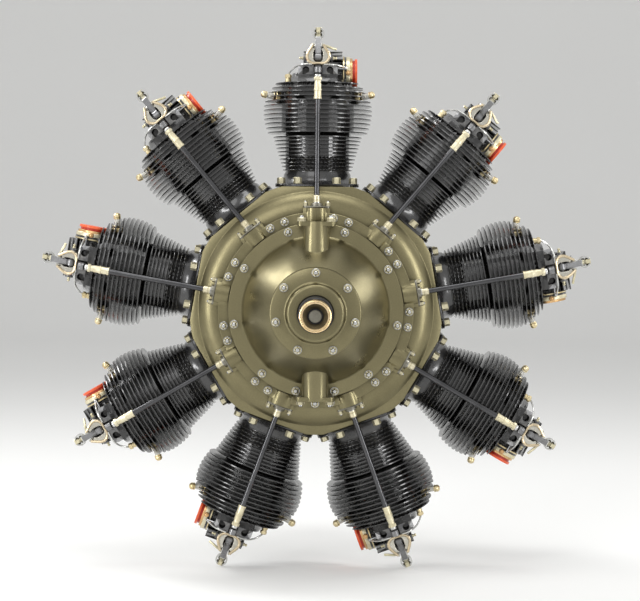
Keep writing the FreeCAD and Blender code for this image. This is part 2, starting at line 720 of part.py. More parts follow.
def cylinder_barrel():
    """Steel barrel: skirt, square base flange, neck, tapered fins and the screwed top."""
    inner = BORE / 2
    comb = fin_steps(LINER_RADIUS, barrel_fin_heights(), barrel_fin_radii())
    neck_top = FIRST_BARREL_FIN - FIN_ROOT_THICKNESS
    tube = turned_on_barrel(
        (inner, PAD_HEIGHT - SKIRT_LENGTH),
        (LINER_RADIUS, PAD_HEIGHT - SKIRT_LENGTH),
        (LINER_RADIUS, PAD_HEIGHT),
        (NECK_RADIUS, PAD_HEIGHT),
        (NECK_RADIUS, neck_top - BARREL_WALL),
        (LINER_RADIUS, neck_top),
        *comb,
        (LINER_RADIUS, BARREL_TOP),
        (inner, BARREL_TOP),
    )
    half = BASE_FLANGE_HALF_WIDTH
    flange = block(-half, half, -half, half, PAD_HEIGHT, FLANGE_TOP)
    flange = flange.makeFillet(BASE_FLANGE_CORNER, upright_edges(flange))
    body = tube.fuse(flange.cut(barrel_rod(NECK_RADIUS, PAD_HEIGHT, FLANGE_TOP)))
    for side in (-1, 1):
        body = body.cut(plug_rod(side, PLUG_THREAD_RADIUS + FIT_GAP, 0, PLUG_SEAT_DISTANCE))
    return single_solid(body)


def head_fin_heights():
    first = HEAD_BOTTOM + FIN_ROOT_THICKNESS / 2
    return [first + HEAD_FIN_PITCH * number for number in range(HEAD_FIN_COUNT)]


def head_fin_radius(height):
    """Fins are widest at one height and fall away as a parabola above and below it."""
    rise = height - HEAD_FIN_WIDEST_HEIGHT
    drop = HEAD_FIN_UPPER_DROP if rise > 0 else HEAD_FIN_LOWER_DROP
    return HEAD_FIN_WIDEST - drop * rise * rise


def plug_direction(side):
    tilt = math.radians(PLUG_TILT)
    turn = math.radians(PLUG_FORWARD_ANGLE)
    flat = math.cos(tilt)
    return Vector(side * flat * math.cos(turn), -flat * math.sin(turn), math.sin(tilt))


def plug_point(side, distance):
    """Point on a spark plug's axis at this distance from the cylinder axis."""
    start = Vector(0, along(0), PLUG_HEIGHT)
    return start + plug_direction(side) * distance


def plug_rod(side, radius, start, end):
    return Part.makeCylinder(radius, end - start, plug_point(side, start), plug_direction(side))


def port_duct():
    """Square-finned duct from the valve to the side port, with the fins across the cylinder axis."""
    outer = PORT_RADIUS + PORT_WALL
    duct = cross_rod(outer, 0, PORT_LENGTH, 0, PORT_HEIGHT)
    mouth = cross_rod(PORT_FLANGE_RADIUS, PORT_LENGTH - PORT_WALL, PORT_LENGTH, 0, PORT_HEIGHT)
    duct = duct.fuse(mouth)
    for number in range(PORT_FIN_COUNT):
        top = PORT_FIN_TOP - PORT_FIN_PITCH * number
        bottom = top - FIN_TIP_THICKNESS
        fin = block(PORT_FIN_LEFT, PORT_FIN_RIGHT, -PORT_FIN_DEPTH, PORT_FIN_DEPTH, bottom, top)
        duct = duct.fuse(fin)
    core = barrel_rod(GUIDE_BOSS_RADIUS, PORT_HEIGHT, PORT_FIN_TOP)
    return duct.fuse(core)


def cylinder_head():
    """Cast head with tapered fins, combustion chamber, port, plug seats and rocker pads."""
    dome_top = PORT_HEIGHT
    comb = fin_steps(HEAD_RADIUS, head_fin_heights(), [head_fin_radius(h) for h in head_fin_heights()])
    shoulder = HEAD_RADIUS * math.cos(math.radians(SHOULDER_ANGLE))
    shoulder_middle = (shoulder + HEAD_WALL / 2, (LAST_HEAD_FIN + dome_top) / 2 + FIN_TIP_THICKNESS)
    body = turned_on_barrel(
        (0, HEAD_BOTTOM),
        *comb,
        (shoulder_middle, (shoulder, dome_top)),
        (0, dome_top),
    )
    half = SADDLE_HALF_WIDTH
    wide = HEAD_FIN_WIDEST
    pad = block(-half, half, PAD_BLOCK_BACK, BRACKET_FRONT + FIT_GAP, BARREL_TOP, SADDLE_BOTTOM)
    top_cut = block(-wide, wide, PAD_BLOCK_BACK, wide, SADDLE_BOTTOM, PORT_FIN_TOP)
    body = body.cut(top_cut).fuse(pad).fuse(port_duct())
    plug_cuts = []
    for side in (-1, 1):
        body = body.fuse(plug_rod(side, PLUG_POCKET_RADIUS, HEAD_RADIUS - HEAD_WALL, PLUG_SEAT_DISTANCE))
        plug_cuts.append(plug_rod(side, PLUG_POCKET_RADIUS, PLUG_SEAT_DISTANCE, 2 * wide))
        plug_cuts.append(plug_rod(side, PLUG_THREAD_RADIUS + FIT_GAP, 0, PLUG_SEAT_DISTANCE))
    chamber_middle = (CHAMBER_CURVE_RADIUS, BARREL_TOP + CHAMBER_CURVE_DEPTH)
    chamber = turned_on_barrel(
        (0, HEAD_BOTTOM),
        (LINER_RADIUS + FIT_GAP, HEAD_BOTTOM),
        (LINER_RADIUS + FIT_GAP, BARREL_TOP + FIT_GAP),
        (BORE / 2, BARREL_TOP + FIT_GAP),
        (chamber_middle, (VALVE_SEAT_RADIUS, VALVE_SEAT_HEIGHT)),
        (0, VALVE_SEAT_HEIGHT),
    )
    throat = barrel_rod(VALVE_SEAT_RADIUS, VALVE_SEAT_HEIGHT, PORT_HEIGHT)
    bend = Part.makeSphere(PORT_RADIUS, Vector(0, along(0), PORT_HEIGHT))
    passage = cross_rod(PORT_RADIUS, 0, PORT_LENGTH, 0, PORT_HEIGHT)
    relief_start = PORT_LENGTH - PORT_RELIEF_DEPTH
    relief = cross_rod(PORT_RELIEF_RADIUS, relief_start, PORT_LENGTH, 0, PORT_HEIGHT)
    guide_hole = barrel_rod(VALVE_STEM_RADIUS + VALVE_GUIDE_WALL + FIT_GAP, PORT_HEIGHT, PORT_FIN_TOP)
    well = barrel_rod(SPRING_RADIUS + FACE_GAP, SPRING_WELL_TOP - SPRING_WELL_DEPTH, PORT_FIN_TOP)
    spot_face = cross_rod(PORT_FLANGE_RADIUS + PORT_SPOT_GAP, PORT_LENGTH, wide, 0, PORT_HEIGHT)
    port_cuts = [throat, bend, passage, relief, spot_face]
    for cutter in [chamber, guide_hole, well] + port_cuts + plug_cuts:
        body = body.cut(cutter)
    return single_solid(body)


def tappet_guide():
    """Block bolted to the cam case, with a collar above and a tube that reaches to the cam."""
    half = GUIDE_WIDTH / 2
    back = PUSHROD_FORWARD - GUIDE_DEPTH / 2
    flange = block(-half, half, back, back + GUIDE_DEPTH, GUIDE_SEAT_HEIGHT, GUIDE_OUTER)
    flange = flange.makeFillet(GUIDE_COLLAR_LENGTH, upright_edges(flange))
    top = GUIDE_OUTER + GUIDE_COLLAR_LENGTH
    collar = barrel_rod(GUIDE_COLLAR_RADIUS, GUIDE_OUTER, top, 0, PUSHROD_FORWARD)
    bottom = GUIDE_SEAT_HEIGHT - GUIDE_TUBE_LENGTH
    tube = barrel_rod(GUIDE_TUBE_RADIUS, bottom, GUIDE_SEAT_HEIGHT, 0, PUSHROD_FORWARD)
    bore = barrel_rod(TAPPET_RADIUS + RUNNING_GAP, bottom, top, 0, PUSHROD_FORWARD)
    return single_solid(flange.fuse(collar).fuse(tube).cut(bore))


def turned_on_pushrod(start, *steps):
    """Solid of revolution about the pushrod's axis from (radius, height) points."""
    body = turned_on_barrel(start, *steps)
    body.translate(Vector(0, -PUSHROD_FORWARD, 0))
    return body


def tappet():
    return barrel_rod(TAPPET_RADIUS, TAPPET_FOOT, TAPPET_TOP, 0, PUSHROD_FORWARD)


def pushrod():
    """Tube with a ferrule at each end and an adjusting nut under its ball."""
    ferrule_bottom = PUSHROD_UPPER_FERRULE_TOP - PUSHROD_FERRULE_LENGTH
    nut_bottom = PUSHROD_NUT_TOP - PUSHROD_NUT_LENGTH
    neck = PUSHROD_BALL_RADIUS / 2
    ball_middle = PUSHROD_BALL_TOP - PUSHROD_BALL_RADIUS
    rod = turned_on_pushrod(
        (0, TAPPET_TOP),
        (PUSHROD_LOWER_FERRULE_RADIUS, TAPPET_TOP),
        (PUSHROD_LOWER_FERRULE_RADIUS, PUSHROD_LOWER_FERRULE_TOP - CHAMFER),
        (PUSHROD_RADIUS, PUSHROD_LOWER_FERRULE_TOP),
        (PUSHROD_RADIUS, ferrule_bottom),
        (PUSHROD_FERRULE_RADIUS, ferrule_bottom),
        (PUSHROD_FERRULE_RADIUS, PUSHROD_UPPER_FERRULE_TOP - CHAMFER),
        (PUSHROD_BODY_RADIUS, PUSHROD_UPPER_FERRULE_TOP),
        (PUSHROD_BODY_RADIUS, nut_bottom),
        (neck, nut_bottom),
        (neck, ball_middle),
        (0, ball_middle),
    )
    base = Vector(0, along(PUSHROD_FORWARD), nut_bottom)
    nut = hexagon(PUSHROD_BODY_RADIUS * 2, PUSHROD_NUT_LENGTH - 2, base, Vector(0, 0, 1))
    ball = Part.makeSphere(PUSHROD_BALL_RADIUS, Vector(0, along(PUSHROD_FORWARD), ball_middle))
    return single_solid(rod.fuse(nut).fuse(ball))


def side_bar(depth, width, start, end):
    """Flat bar with round ends between two (forward, height) points, centred on the cylinder axis."""
    run = math.hypot(end[0] - start[0], end[1] - start[1])
    across = ((end[1] - start[1]) / run * depth / 2, -(end[0] - start[0]) / run * depth / 2)
    bar = side_plate(
        width,
        (start[0] + across[0], start[1] + across[1]),
        (end[0] + across[0], end[1] + across[1]),
        (end[0] - across[0], end[1] - across[1]),
        (start[0] - across[0], start[1] - across[1]),
    )
    for forward, height in (start, end):
        bar = bar.fuse(cross_rod(depth / 2, -width / 2, width / 2, forward, height))
    return bar


def rocker_path():
    """Corners of the rocker's centre line: tip, elbow, fulcrum, knee and toe."""
    tip = (TIP_EYE_DEPTH / 2, ROCKER_TIP_HEIGHT - TIP_EYE_RADIUS / 2)
    elbow = (ROCKER_ELBOW_FORWARD, ROCKER_ELBOW_HEIGHT)
    fulcrum = (FULCRUM_FORWARD, FULCRUM_HEIGHT)
    knee = (FULCRUM_FORWARD, ROCKER_TOE_HEIGHT)
    toe = (PUSHROD_FORWARD, PUSHROD_BALL_TOP + VALVE_LASH + ROCKER_TOE_DEPTH / 2)
    return [tip, elbow, fulcrum, knee, toe]


def fulcrum_rod(radius, left, right):
    """Round bar on the rocker's own axis."""
    return cross_rod(radius, left, right, FULCRUM_FORWARD, FULCRUM_HEIGHT)


def rocker():
    """Forged I-beam lever on its fulcrum hub, with an eye for the adjuster at its tip."""
    corners = rocker_path()
    depths = [ROCKER_ARM_DEPTH, ROCKER_ARM_DEPTH, ROCKER_LEG_DEPTH, ROCKER_TOE_DEPTH]
    half = ROCKER_WIDTH / 2
    eye_half = TIP_EYE_DEPTH / 2
    hub = fulcrum_rod(ROCKER_HUB_RADIUS, -half, half)
    lever = hub
    for start, end, depth in zip(corners, corners[1:], depths):
        lever = lever.fuse(side_bar(depth, ROCKER_WIDTH, start, end))
    pad = PUSHROD_BALL_TOP + VALVE_LASH
    foot = barrel_rod(PUSHROD_BODY_RADIUS, pad, pad + ROCKER_TOE_DEPTH, 0, PUSHROD_FORWARD)
    lever = lever.fuse(foot)
    eye = crank_rod(TIP_EYE_RADIUS, -eye_half, eye_half, 0, ROCKER_TIP_HEIGHT)
    hole = crank_rod(TIP_EYE_RADIUS - TIP_EYE_WALL, -TIP_EYE_DEPTH, eye_half + FIT_GAP, 0, ROCKER_TIP_HEIGHT)
    lever = lever.fuse(eye).cut(hole)
    wide_hub = fulcrum_rod(ROCKER_HUB_RADIUS, -ROCKER_WIDTH * 2, ROCKER_WIDTH * 2)
    for side in (-1, 1):
        pocket = side_bar(ROCKER_POCKET_DEPTH, ROCKER_WIDTH, corners[1], corners[2])
        pocket.translate(Vector(side * (ROCKER_WIDTH + ROCKER_WEB) / 2, 0, 0))
        lever = lever.cut(pocket.cut(wide_hub))
    seat = ADJUSTER_WIDTH * HEX_CORNER + FACE_GAP
    lever = lever.cut(barrel_rod(seat, ADJUSTER_BODY_BOTTOM, ADJUSTER_TOP + TIP_EYE_WALL))
    lever = lever.cut(barrel_rod(ADJUSTER_FOOT_RADIUS + FACE_GAP, FULCRUM_HEIGHT, ADJUSTER_BODY_BOTTOM))
    pin_hole = fulcrum_rod(FULCRUM_PIN_RADIUS + RUNNING_GAP, -ROCKER_WIDTH, ROCKER_WIDTH)
    return single_solid(lever.cut(pin_hole))


def adjuster():
    """Lash screw with its nut, standing in the rocker's eye over the valve stem."""
    upward = Vector(0, 0, 1)
    nut_height = (ADJUSTER_TOP - ADJUSTER_BODY_BOTTOM) / 2 - SMALL_CHAMFER
    upper_base = Vector(0, along(0), ADJUSTER_TOP - nut_height)
    lower = hexagon(ADJUSTER_WIDTH, nut_height, Vector(0, along(0), ADJUSTER_BODY_BOTTOM), upward)
    upper = hexagon(ADJUSTER_WIDTH, nut_height, upper_base, upward)
    foot_middle = VALVE_TOP + VALVE_LASH + ADJUSTER_FOOT_RADIUS
    stem = barrel_rod(ADJUSTER_FOOT_RADIUS, foot_middle, ADJUSTER_TOP)
    foot = Part.makeSphere(ADJUSTER_FOOT_RADIUS, Vector(0, along(0), foot_middle))
    return single_solid(lower.fuse(upper).fuse(stem).fuse(foot))


def rocker_bracket():
    """Onion-shaped yoke whose two cheeks carry the fulcrum pin on either side of the rocker."""
    half = BRACKET_HALF_WIDTH
    foot = BRACKET_FOOT_HALF_WIDTH
    neck = BRACKET_WINDOW_HALF_WIDTH
    lower = BRACKET_BOTTOM + BRACKET_LOWER_RISE
    waist = (BRACKET_WIDEST_HEIGHT + BRACKET_TOP) / 2
    yoke = front_plate(
        BRACKET_BACK,
        BRACKET_FRONT,
        (-foot, BRACKET_BOTTOM),
        (foot, BRACKET_BOTTOM),
        ((BRACKET_LOWER_CURVE, lower), (half, BRACKET_WIDEST_HEIGHT)),
        ((BRACKET_UPPER_CURVE, waist), (neck, BRACKET_TOP)),
        (-neck, BRACKET_TOP),
        ((-BRACKET_UPPER_CURVE, waist), (-half, BRACKET_WIDEST_HEIGHT)),
        ((-BRACKET_LOWER_CURVE, lower), (-foot, BRACKET_BOTTOM)),
    )
    floor = BRACKET_BOTTOM + BRACKET_STRAP
    low = floor + neck
    high = BRACKET_TOP - 2 * neck
    through = BRACKET_BACK - BRACKET_DEPTH
    beyond = BRACKET_FRONT + BRACKET_DEPTH
    window = front_plate(
        through,
        beyond,
        (-neck, low),
        ((0, floor), (neck, low)),
        (neck, high),
        ((0, high + neck), (-neck, high)),
    )
    slot_half = ROCKER_WIDTH / 2 + SMALL_CHAMFER
    slot = block(-slot_half, slot_half, through, beyond, low, BRACKET_TOP + neck)
    leg_room = ROCKER_LEG_DEPTH
    leg_back = FULCRUM_FORWARD - leg_room
    leg_hole = block(-slot_half, slot_half, leg_back, FULCRUM_FORWARD + leg_room, BRACKET_BOTTOM, low)
    pin_hole = fulcrum_rod(FULCRUM_PIN_RADIUS + FIT_GAP, -half * 2, half * 2)
    cheeks = block(-half, half, BRACKET_BACK, BRACKET_FRONT, BRACKET_BOTTOM, BRACKET_TOP)
    return single_solid(yoke.common(cheeks).cut(window).cut(slot).cut(leg_hole).cut(pin_hole))


def rocker_saddle():
    """Steel saddle under the yoke, with a hooked claw on each side of the rocker's toe."""
    outer = SADDLE_HALF_WIDTH
    inner = SADDLE_SLOT_HALF_WIDTH
    top = BRACKET_BOTTOM
    middle = (SADDLE_BOTTOM + top) / 2
    front = PAD_BLOCK_BACK + SADDLE_DEPTH
    shoulder = top - SADDLE_SHOULDER_DROP
    eye_height = middle - SMALL_CHAMFER
    shelf_front = PAD_BLOCK_BACK + SADDLE_BAR_THICKNESS
    shelf = block(-outer, outer, PAD_BLOCK_BACK, shelf_front, SADDLE_BOTTOM, top)
    saddle = shelf
    for side in (-1, 1):
        shoulder_middle = (side * (outer - SADDLE_SHOULDER_DROP), shoulder)
        claw = front_plate(
            PAD_BLOCK_BACK,
            front,
            (side * inner, SADDLE_BOTTOM),
            (side * outer, SADDLE_BOTTOM),
            (side * outer, middle),
            (shoulder_middle, (side * (outer - SADDLE_SHOULDER_WIDTH), top)),
            (side * inner, top),
        )
        eye_across = side * (inner + outer) / 2
        eye = crank_rod(SADDLE_HOOK_BORE, shelf_front, front, eye_across, eye_height)
        left = min(eye_across, eye_across + side * SADDLE_HOOK_BORE)
        mouth = block(left, left + SADDLE_HOOK_BORE, shelf_front, front, SADDLE_BOTTOM, eye_height)
        saddle = saddle.fuse(claw.cut(eye).cut(mouth))
    bar_back = PORT_FLANGE_RADIUS + FACE_GAP
    bar_front = bar_back + SADDLE_HOOK_BORE
    bar_left = outer - SADDLE_SHOULDER_WIDTH
    bar = block(bar_left, PORT_LENGTH, bar_back, bar_front, shoulder - SADDLE_BAR_THICKNESS, shoulder)
    return single_solid(saddle.fuse(bar))


def rocker_pin():
    """Fulcrum pin with a head outside each cheek."""
    half = BRACKET_HALF_WIDTH
    shank = fulcrum_rod(FULCRUM_PIN_RADIUS, -half, half)
    left = fulcrum_rod(FULCRUM_PIN_HEAD, -half - FULCRUM_PIN_HEAD_LENGTH, -half)
    right = fulcrum_rod(FULCRUM_PIN_HEAD, half, half + FULCRUM_PIN_HEAD_LENGTH)
    return single_solid(shank.fuse(left).fuse(right))


def valve_guide():
    inner = VALVE_STEM_RADIUS + RUNNING_GAP
    outer = VALVE_STEM_RADIUS + VALVE_GUIDE_WALL
    return turned_on_barrel(
        (inner, PORT_HEIGHT + PORT_RADIUS),
        (outer - SMALL_CHAMFER, PORT_HEIGHT + PORT_RADIUS),
        (outer, PORT_HEIGHT + PORT_RADIUS + SMALL_CHAMFER),
        (outer, VALVE_GUIDE_TOP),
        (inner, VALVE_GUIDE_TOP),
    )


def valve():
    """Poppet valve: head with a 45 degree seat, fillet and stem."""
    rim = VALVE_HEAD_RADIUS - VALVE_HEAD_GAP
    face = VALVE_HEAD_THICKNESS / 2
    stem_start = VALVE_SEAT_HEIGHT + VALVE_FILLET_HEIGHT
    return turned_on_barrel(
        (0, VALVE_SEAT_HEIGHT - VALVE_HEAD_THICKNESS),
        (rim, VALVE_SEAT_HEIGHT - VALVE_HEAD_THICKNESS),
        (rim, VALVE_SEAT_HEIGHT - face),
        (rim - face, VALVE_SEAT_HEIGHT),
        ((VALVE_STEM_RADIUS * 2, VALVE_SEAT_HEIGHT + face * 2), (VALVE_STEM_RADIUS, stem_start)),
        (VALVE_STEM_RADIUS, VALVE_TOP),
        (0, VALVE_TOP),
    )


def retainer():
    """Spring retainer locked on the stem."""
    hole = VALVE_STEM_RADIUS + FIT_GAP
    bottom = RETAINER_TOP - RETAINER_THICKNESS
    return turned_on_barrel(
        (hole, bottom),
        (RETAINER_RADIUS, bottom),
        (RETAINER_RADIUS, RETAINER_TOP - SMALL_CHAMFER),
        (RETAINER_RADIUS - SMALL_CHAMFER, RETAINER_TOP),
        (hole, RETAINER_TOP),
    )


def valve_spring():
    """Coil spring drawn as one sleeve with a round bead for each turn."""
    top = RETAINER_TOP - RETAINER_THICKNESS
    bottom = SPRING_WELL_TOP - SPRING_WELL_DEPTH + VALVE_TRAVEL + FACE_GAP
    pitch = (top - bottom) / SPRING_TURNS
    inner = SPRING_RADIUS - SPRING_WIRE
    steps = []
    for turn in range(int(SPRING_TURNS)):
        start = bottom + pitch * turn
        steps.append((inner + SPRING_WIRE / 2, start))
        steps.append(((SPRING_RADIUS, start + pitch / 2), (inner + SPRING_WIRE / 2, start + pitch)))
    return turned_on_barrel((inner, bottom), *steps, (inner, top))


def port_flange():
    """Side port flange with a thinner seal ring outside it."""
    flange = cross_rod(PORT_FLANGE_RADIUS, PORT_LENGTH, PORT_FLANGE_END, 0, PORT_HEIGHT)
    ring = cross_rod(PORT_RING_RADIUS, PORT_FLANGE_END, PORT_RING_END, 0, PORT_HEIGHT)
    bore = cross_rod(PORT_MOUTH_RADIUS, PORT_LENGTH, PORT_RING_END, 0, PORT_HEIGHT)
    return single_solid(flange.fuse(ring).cut(bore))


def port_blank():
    """Blanking plug: spigot in the port, drum and outer disc."""
    spigot_start = PORT_RING_END - BLANK_SPIGOT_LENGTH
    spigot = cross_rod(PORT_MOUTH_RADIUS - FIT_GAP, spigot_start, PORT_RING_END, 0, PORT_HEIGHT)
    drum_end = PORT_RING_END + BLANK_DRUM_LENGTH
    drum = cross_rod(BLANK_DRUM_RADIUS, PORT_RING_END, drum_end, 0, PORT_HEIGHT)
    disc = cross_rod(BLANK_DISC_RADIUS, drum_end, drum_end + BLANK_DISC_THICKNESS, 0, PORT_HEIGHT)
    return single_solid(spigot.fuse(drum).fuse(disc))


def spark_plug(side):
    hex_end = PLUG_SEAT_DISTANCE + PLUG_HEX_LENGTH
    body_end = hex_end + PLUG_BODY_LENGTH
    thread = plug_rod(side, PLUG_THREAD_RADIUS, PLUG_START, PLUG_SEAT_DISTANCE)
    flats = PLUG_HEX_RADIUS / HEX_CORNER
    nut = hexagon(flats, PLUG_HEX_LENGTH, plug_point(side, PLUG_SEAT_DISTANCE), plug_direction(side))
    body = plug_rod(side, PLUG_BODY_RADIUS, hex_end, body_end)
    cap = plug_rod(side, PLUG_CAP_RADIUS, body_end, body_end + PLUG_CAP_LENGTH)
    return single_solid(thread.fuse(nut).fuse(body).fuse(cap))


def ring_height(number, gudgeon):
    return gudgeon + CROWN_ABOVE_GUDGEON - RING_PITCH * (number + 1)


def gudgeon_height(angle):
    """Distance of a piston's pin from the crank axis, with the crankpin at the top."""
    turn = math.radians(angle)
    swing = math.sqrt(ROD_LENGTH ** 2 - (THROW * math.sin(turn)) ** 2)
    return KNUCKLE_RADIUS + THROW * math.cos(turn) + swing


def piston(gudgeon):
    """Open-bottomed piston with ring grooves, pin bosses and a pin hole along the crank axis."""
    outer = BORE / 2 - PISTON_GAP
    crown = gudgeon + CROWN_ABOVE_GUDGEON
    steps = [(outer, gudgeon - PISTON_SKIRT)]
    for number in reversed(range(RING_COUNT)):
        low = ring_height(number, gudgeon) - RING_GAP
        high = low + RING_THICKNESS + 2 * RING_GAP
        groove = outer - RING_DEPTH
        steps += [(outer, low), (groove, low), (groove, high), (outer, high)]
    inner = outer - PISTON_WALL
    body = turned_on_barrel(
        (inner, gudgeon - PISTON_SKIRT),
        *steps,
        (outer, crown),
        (0, crown),
        (0, crown - CROWN_THICKNESS),
        (inner, crown - CROWN_THICKNESS),
    )
    boss = crank_rod(GUDGEON_RADIUS + PISTON_WALL, -inner, inner, 0, gudgeon)
    gap = crank_rod(BORE, -ROD_EYE_WIDTH / 2 - FACE_GAP, ROD_EYE_WIDTH / 2 + FACE_GAP, 0, gudgeon)
    hole = crank_rod(GUDGEON_RADIUS + FIT_GAP, -BORE, BORE, 0, gudgeon)
    return single_solid(body.fuse(boss.cut(gap)).cut(hole))


def piston_ring(number, gudgeon):
    outer = BORE / 2 - RING_GAP
    inner = BORE / 2 - PISTON_GAP - RING_DEPTH + RING_GAP
    bottom = ring_height(number, gudgeon)
    return turned_on_barrel(
        (inner, bottom),
        (outer, bottom),
        (outer, bottom + RING_THICKNESS),
        (inner, bottom + RING_THICKNESS),
    )


def gudgeon_pin(gudgeon):
    half = BORE / 2 - PISTON_GAP - PISTON_WALL / 2
    return crank_rod(GUDGEON_RADIUS, -half, half, 0, gudgeon)


def knuckle_place(angle):
    turn = math.radians(angle)
    return (KNUCKLE_RADIUS * math.sin(turn), THROW + KNUCKLE_RADIUS * math.cos(turn))


def knuckle_pin(angle):
    across, height = knuckle_place(angle)
    half = ROD_EYE_WIDTH / 2 + MASTER_FLANGE_THICKNESS
    return crank_rod(KNUCKLE_PIN_RADIUS, -half, half, across, height)


def rod_beam(start, end, start_radius, end_radius):
    """I-section beam between two (across, height) points that stops at its eyes."""
    run = math.hypot(end[0] - start[0], end[1] - start[1])
    length = run - start_radius - end_radius + 2 * RING_DEPTH
    half = ROD_BEAM_HEIGHT / 2
    deep = ROD_BEAM_WIDTH / 2
    beam = block(-half, half, -deep, deep, 0, length)
    flange = ROD_BEAM_WEB
    for side in (-1, 1):
        middle = side * (ROD_BEAM_WEB / 2 + deep)
        back = middle - deep
        pocket = block(-half + flange, half - flange, back, back + 2 * deep, 2 * flange, length - 2 * flange)
        beam = beam.cut(pocket)
    angle = math.degrees(math.atan2(end[0] - start[0], end[1] - start[1]))
    beam.translate(Vector(0, 0, start_radius - RING_DEPTH))
    beam.rotate(Vector(0, 0, 0), Vector(0, 1, 0), angle)
    beam.translate(Vector(start[0], 0, start[1]))
    return beam


def articulated_rod(angle):
    knuckle = knuckle_place(angle)
    turn = math.radians(angle)
    height = gudgeon_height(angle)
    gudgeon = (height * math.sin(turn), height * math.cos(turn))
    half = ROD_EYE_WIDTH / 2
    rod = rod_beam(knuckle, gudgeon, ROD_EYE_RADIUS, ROD_SMALL_EYE_RADIUS)
    rod = rod.fuse(crank_rod(ROD_EYE_RADIUS, -half, half, *knuckle))
    rod = rod.fuse(crank_rod(ROD_SMALL_EYE_RADIUS, -half, half, *gudgeon))
    rod = rod.cut(crank_rod(KNUCKLE_PIN_RADIUS + RUNNING_GAP, -half, half, *knuckle))
    return single_solid(rod.cut(crank_rod(GUDGEON_RADIUS + RUNNING_GAP, -half, half, *gudgeon)))


def master_rod():
    """Rod of the top cylinder, whose big end carries the other eight rods between two flanges."""
    half = ROD_EYE_WIDTH / 2
    edge = half + MASTER_FLANGE_THICKNESS
    gudgeon = (0, gudgeon_height(0))
    pin = (0, THROW)
    rod = crank_rod(MASTER_HUB_RADIUS, -edge, edge, *pin)
    for back, front in ((-edge, -half - FACE_GAP), (half + FACE_GAP, edge)):
        rod = rod.fuse(crank_rod(MASTER_FLANGE_RADIUS, back, front, *pin))
    rod = rod.fuse(rod_beam(pin, gudgeon, MASTER_HUB_RADIUS, ROD_SMALL_EYE_RADIUS))
    rod = rod.fuse(crank_rod(ROD_SMALL_EYE_RADIUS, -half, half, *gudgeon))
    rod = rod.cut(crank_rod(CRANKPIN_RADIUS + RUNNING_GAP, -edge, edge, *pin))
    rod = rod.cut(crank_rod(GUDGEON_RADIUS + RUNNING_GAP, -half, half, *gudgeon))
    for number in range(1, CYLINDER_COUNT):
        knuckle = knuckle_place(SECTOR * number)
        rod = rod.cut(crank_rod(KNUCKLE_PIN_RADIUS + FIT_GAP, -edge, edge, *knuckle))
    return single_solid(rod)


def crankpin():
    return crank_rod(CRANKPIN_RADIUS, -CRANKPIN_HALF_LENGTH, CRANKPIN_HALF_LENGTH, 0, THROW)


def crank_web():
    """Web from the shaft to the crankpin, with its counterweight opposite."""
    hub = crank_rod(WEB_HUB_RADIUS, WEB_BACK, WEB_FRONT)
    pin_end = crank_rod(WEB_PIN_RADIUS, WEB_BACK, WEB_FRONT, 0, THROW)
    bridge = block(-WEB_PIN_RADIUS, WEB_PIN_RADIUS, WEB_BACK, WEB_FRONT, 0, THROW)
    half = math.radians(COUNTERWEIGHT_ANGLE / 2)
    edge = COUNTERWEIGHT_RADIUS * math.sin(half)
    drop = COUNTERWEIGHT_RADIUS * math.cos(half)
    weight = front_plate(
        WEB_BACK,
        WEB_FRONT,
        (-WEB_HUB_RADIUS / 2, 0),
        (-edge, -drop),
        ((0, -COUNTERWEIGHT_RADIUS), (edge, -drop)),
        (WEB_HUB_RADIUS / 2, 0),
    )
    return hub.fuse(pin_end).fuse(bridge).fuse(weight)


def crankshaft_front():
    """Front web with the long propeller shaft, bored through."""
    shaft = turned_on_crank(
        (0, WEB_FRONT),
        (SHAFT_RADIUS, WEB_FRONT),
        (SHAFT_RADIUS, HUB_FRONT),
        (PROP_SEAT_RADIUS, HUB_FRONT),
        (PROP_SEAT_RADIUS, SHAFT_FRONT - CHAMFER),
        (PROP_SEAT_RADIUS - CHAMFER, SHAFT_FRONT),
        (0, SHAFT_FRONT),
    )
    bore = crank_rod(SHAFT_BORE_RADIUS, WEB_BACK, SHAFT_FRONT)
    return single_solid(crank_web().fuse(shaft).cut(bore))


def crankshaft_rear():
    """Rear web, the front one mirrored, with a short journal."""
    journal = turned_on_crank(
        (0, WEB_FRONT),
        (SHAFT_RADIUS, WEB_FRONT),
        (SHAFT_RADIUS, JOURNAL_END),
        (0, JOURNAL_END),
    )
    bore = crank_rod(SHAFT_BORE_RADIUS, WEB_BACK, JOURNAL_END)
    half = single_solid(crank_web().fuse(journal).cut(bore))
    return half.mirror(Vector(0, along(0), 0), Vector(0, 1, 0))


def prop_nut():
    """Bronze nut on the shaft's end, hollowed in front, with a plug in its middle."""
    front = SHAFT_FRONT + PROP_NUT_LENGTH
    cup_floor = front - PROP_NUT_CUP_DEPTH
    shaved = PROP_NUT_ROUND * ARC_MIDDLE
    return turned_on_crank(
        (0, SHAFT_FRONT),
        (PROP_NUT_RADIUS, SHAFT_FRONT),
        (PROP_NUT_RADIUS, front - PROP_NUT_ROUND),
        ((PROP_NUT_RADIUS - shaved, front - shaved), (PROP_NUT_RADIUS - PROP_NUT_ROUND, front)),
        (PROP_NUT_BORE + PROP_NUT_TAPER, front),
        (PROP_NUT_BORE - PROP_NUT_TAPER, cup_floor),
        (PROP_PLUG_RADIUS, cup_floor),
        (PROP_PLUG_RADIUS, cup_floor + PROP_PLUG_LENGTH),
        (0, cup_floor + PROP_PLUG_LENGTH),
    )


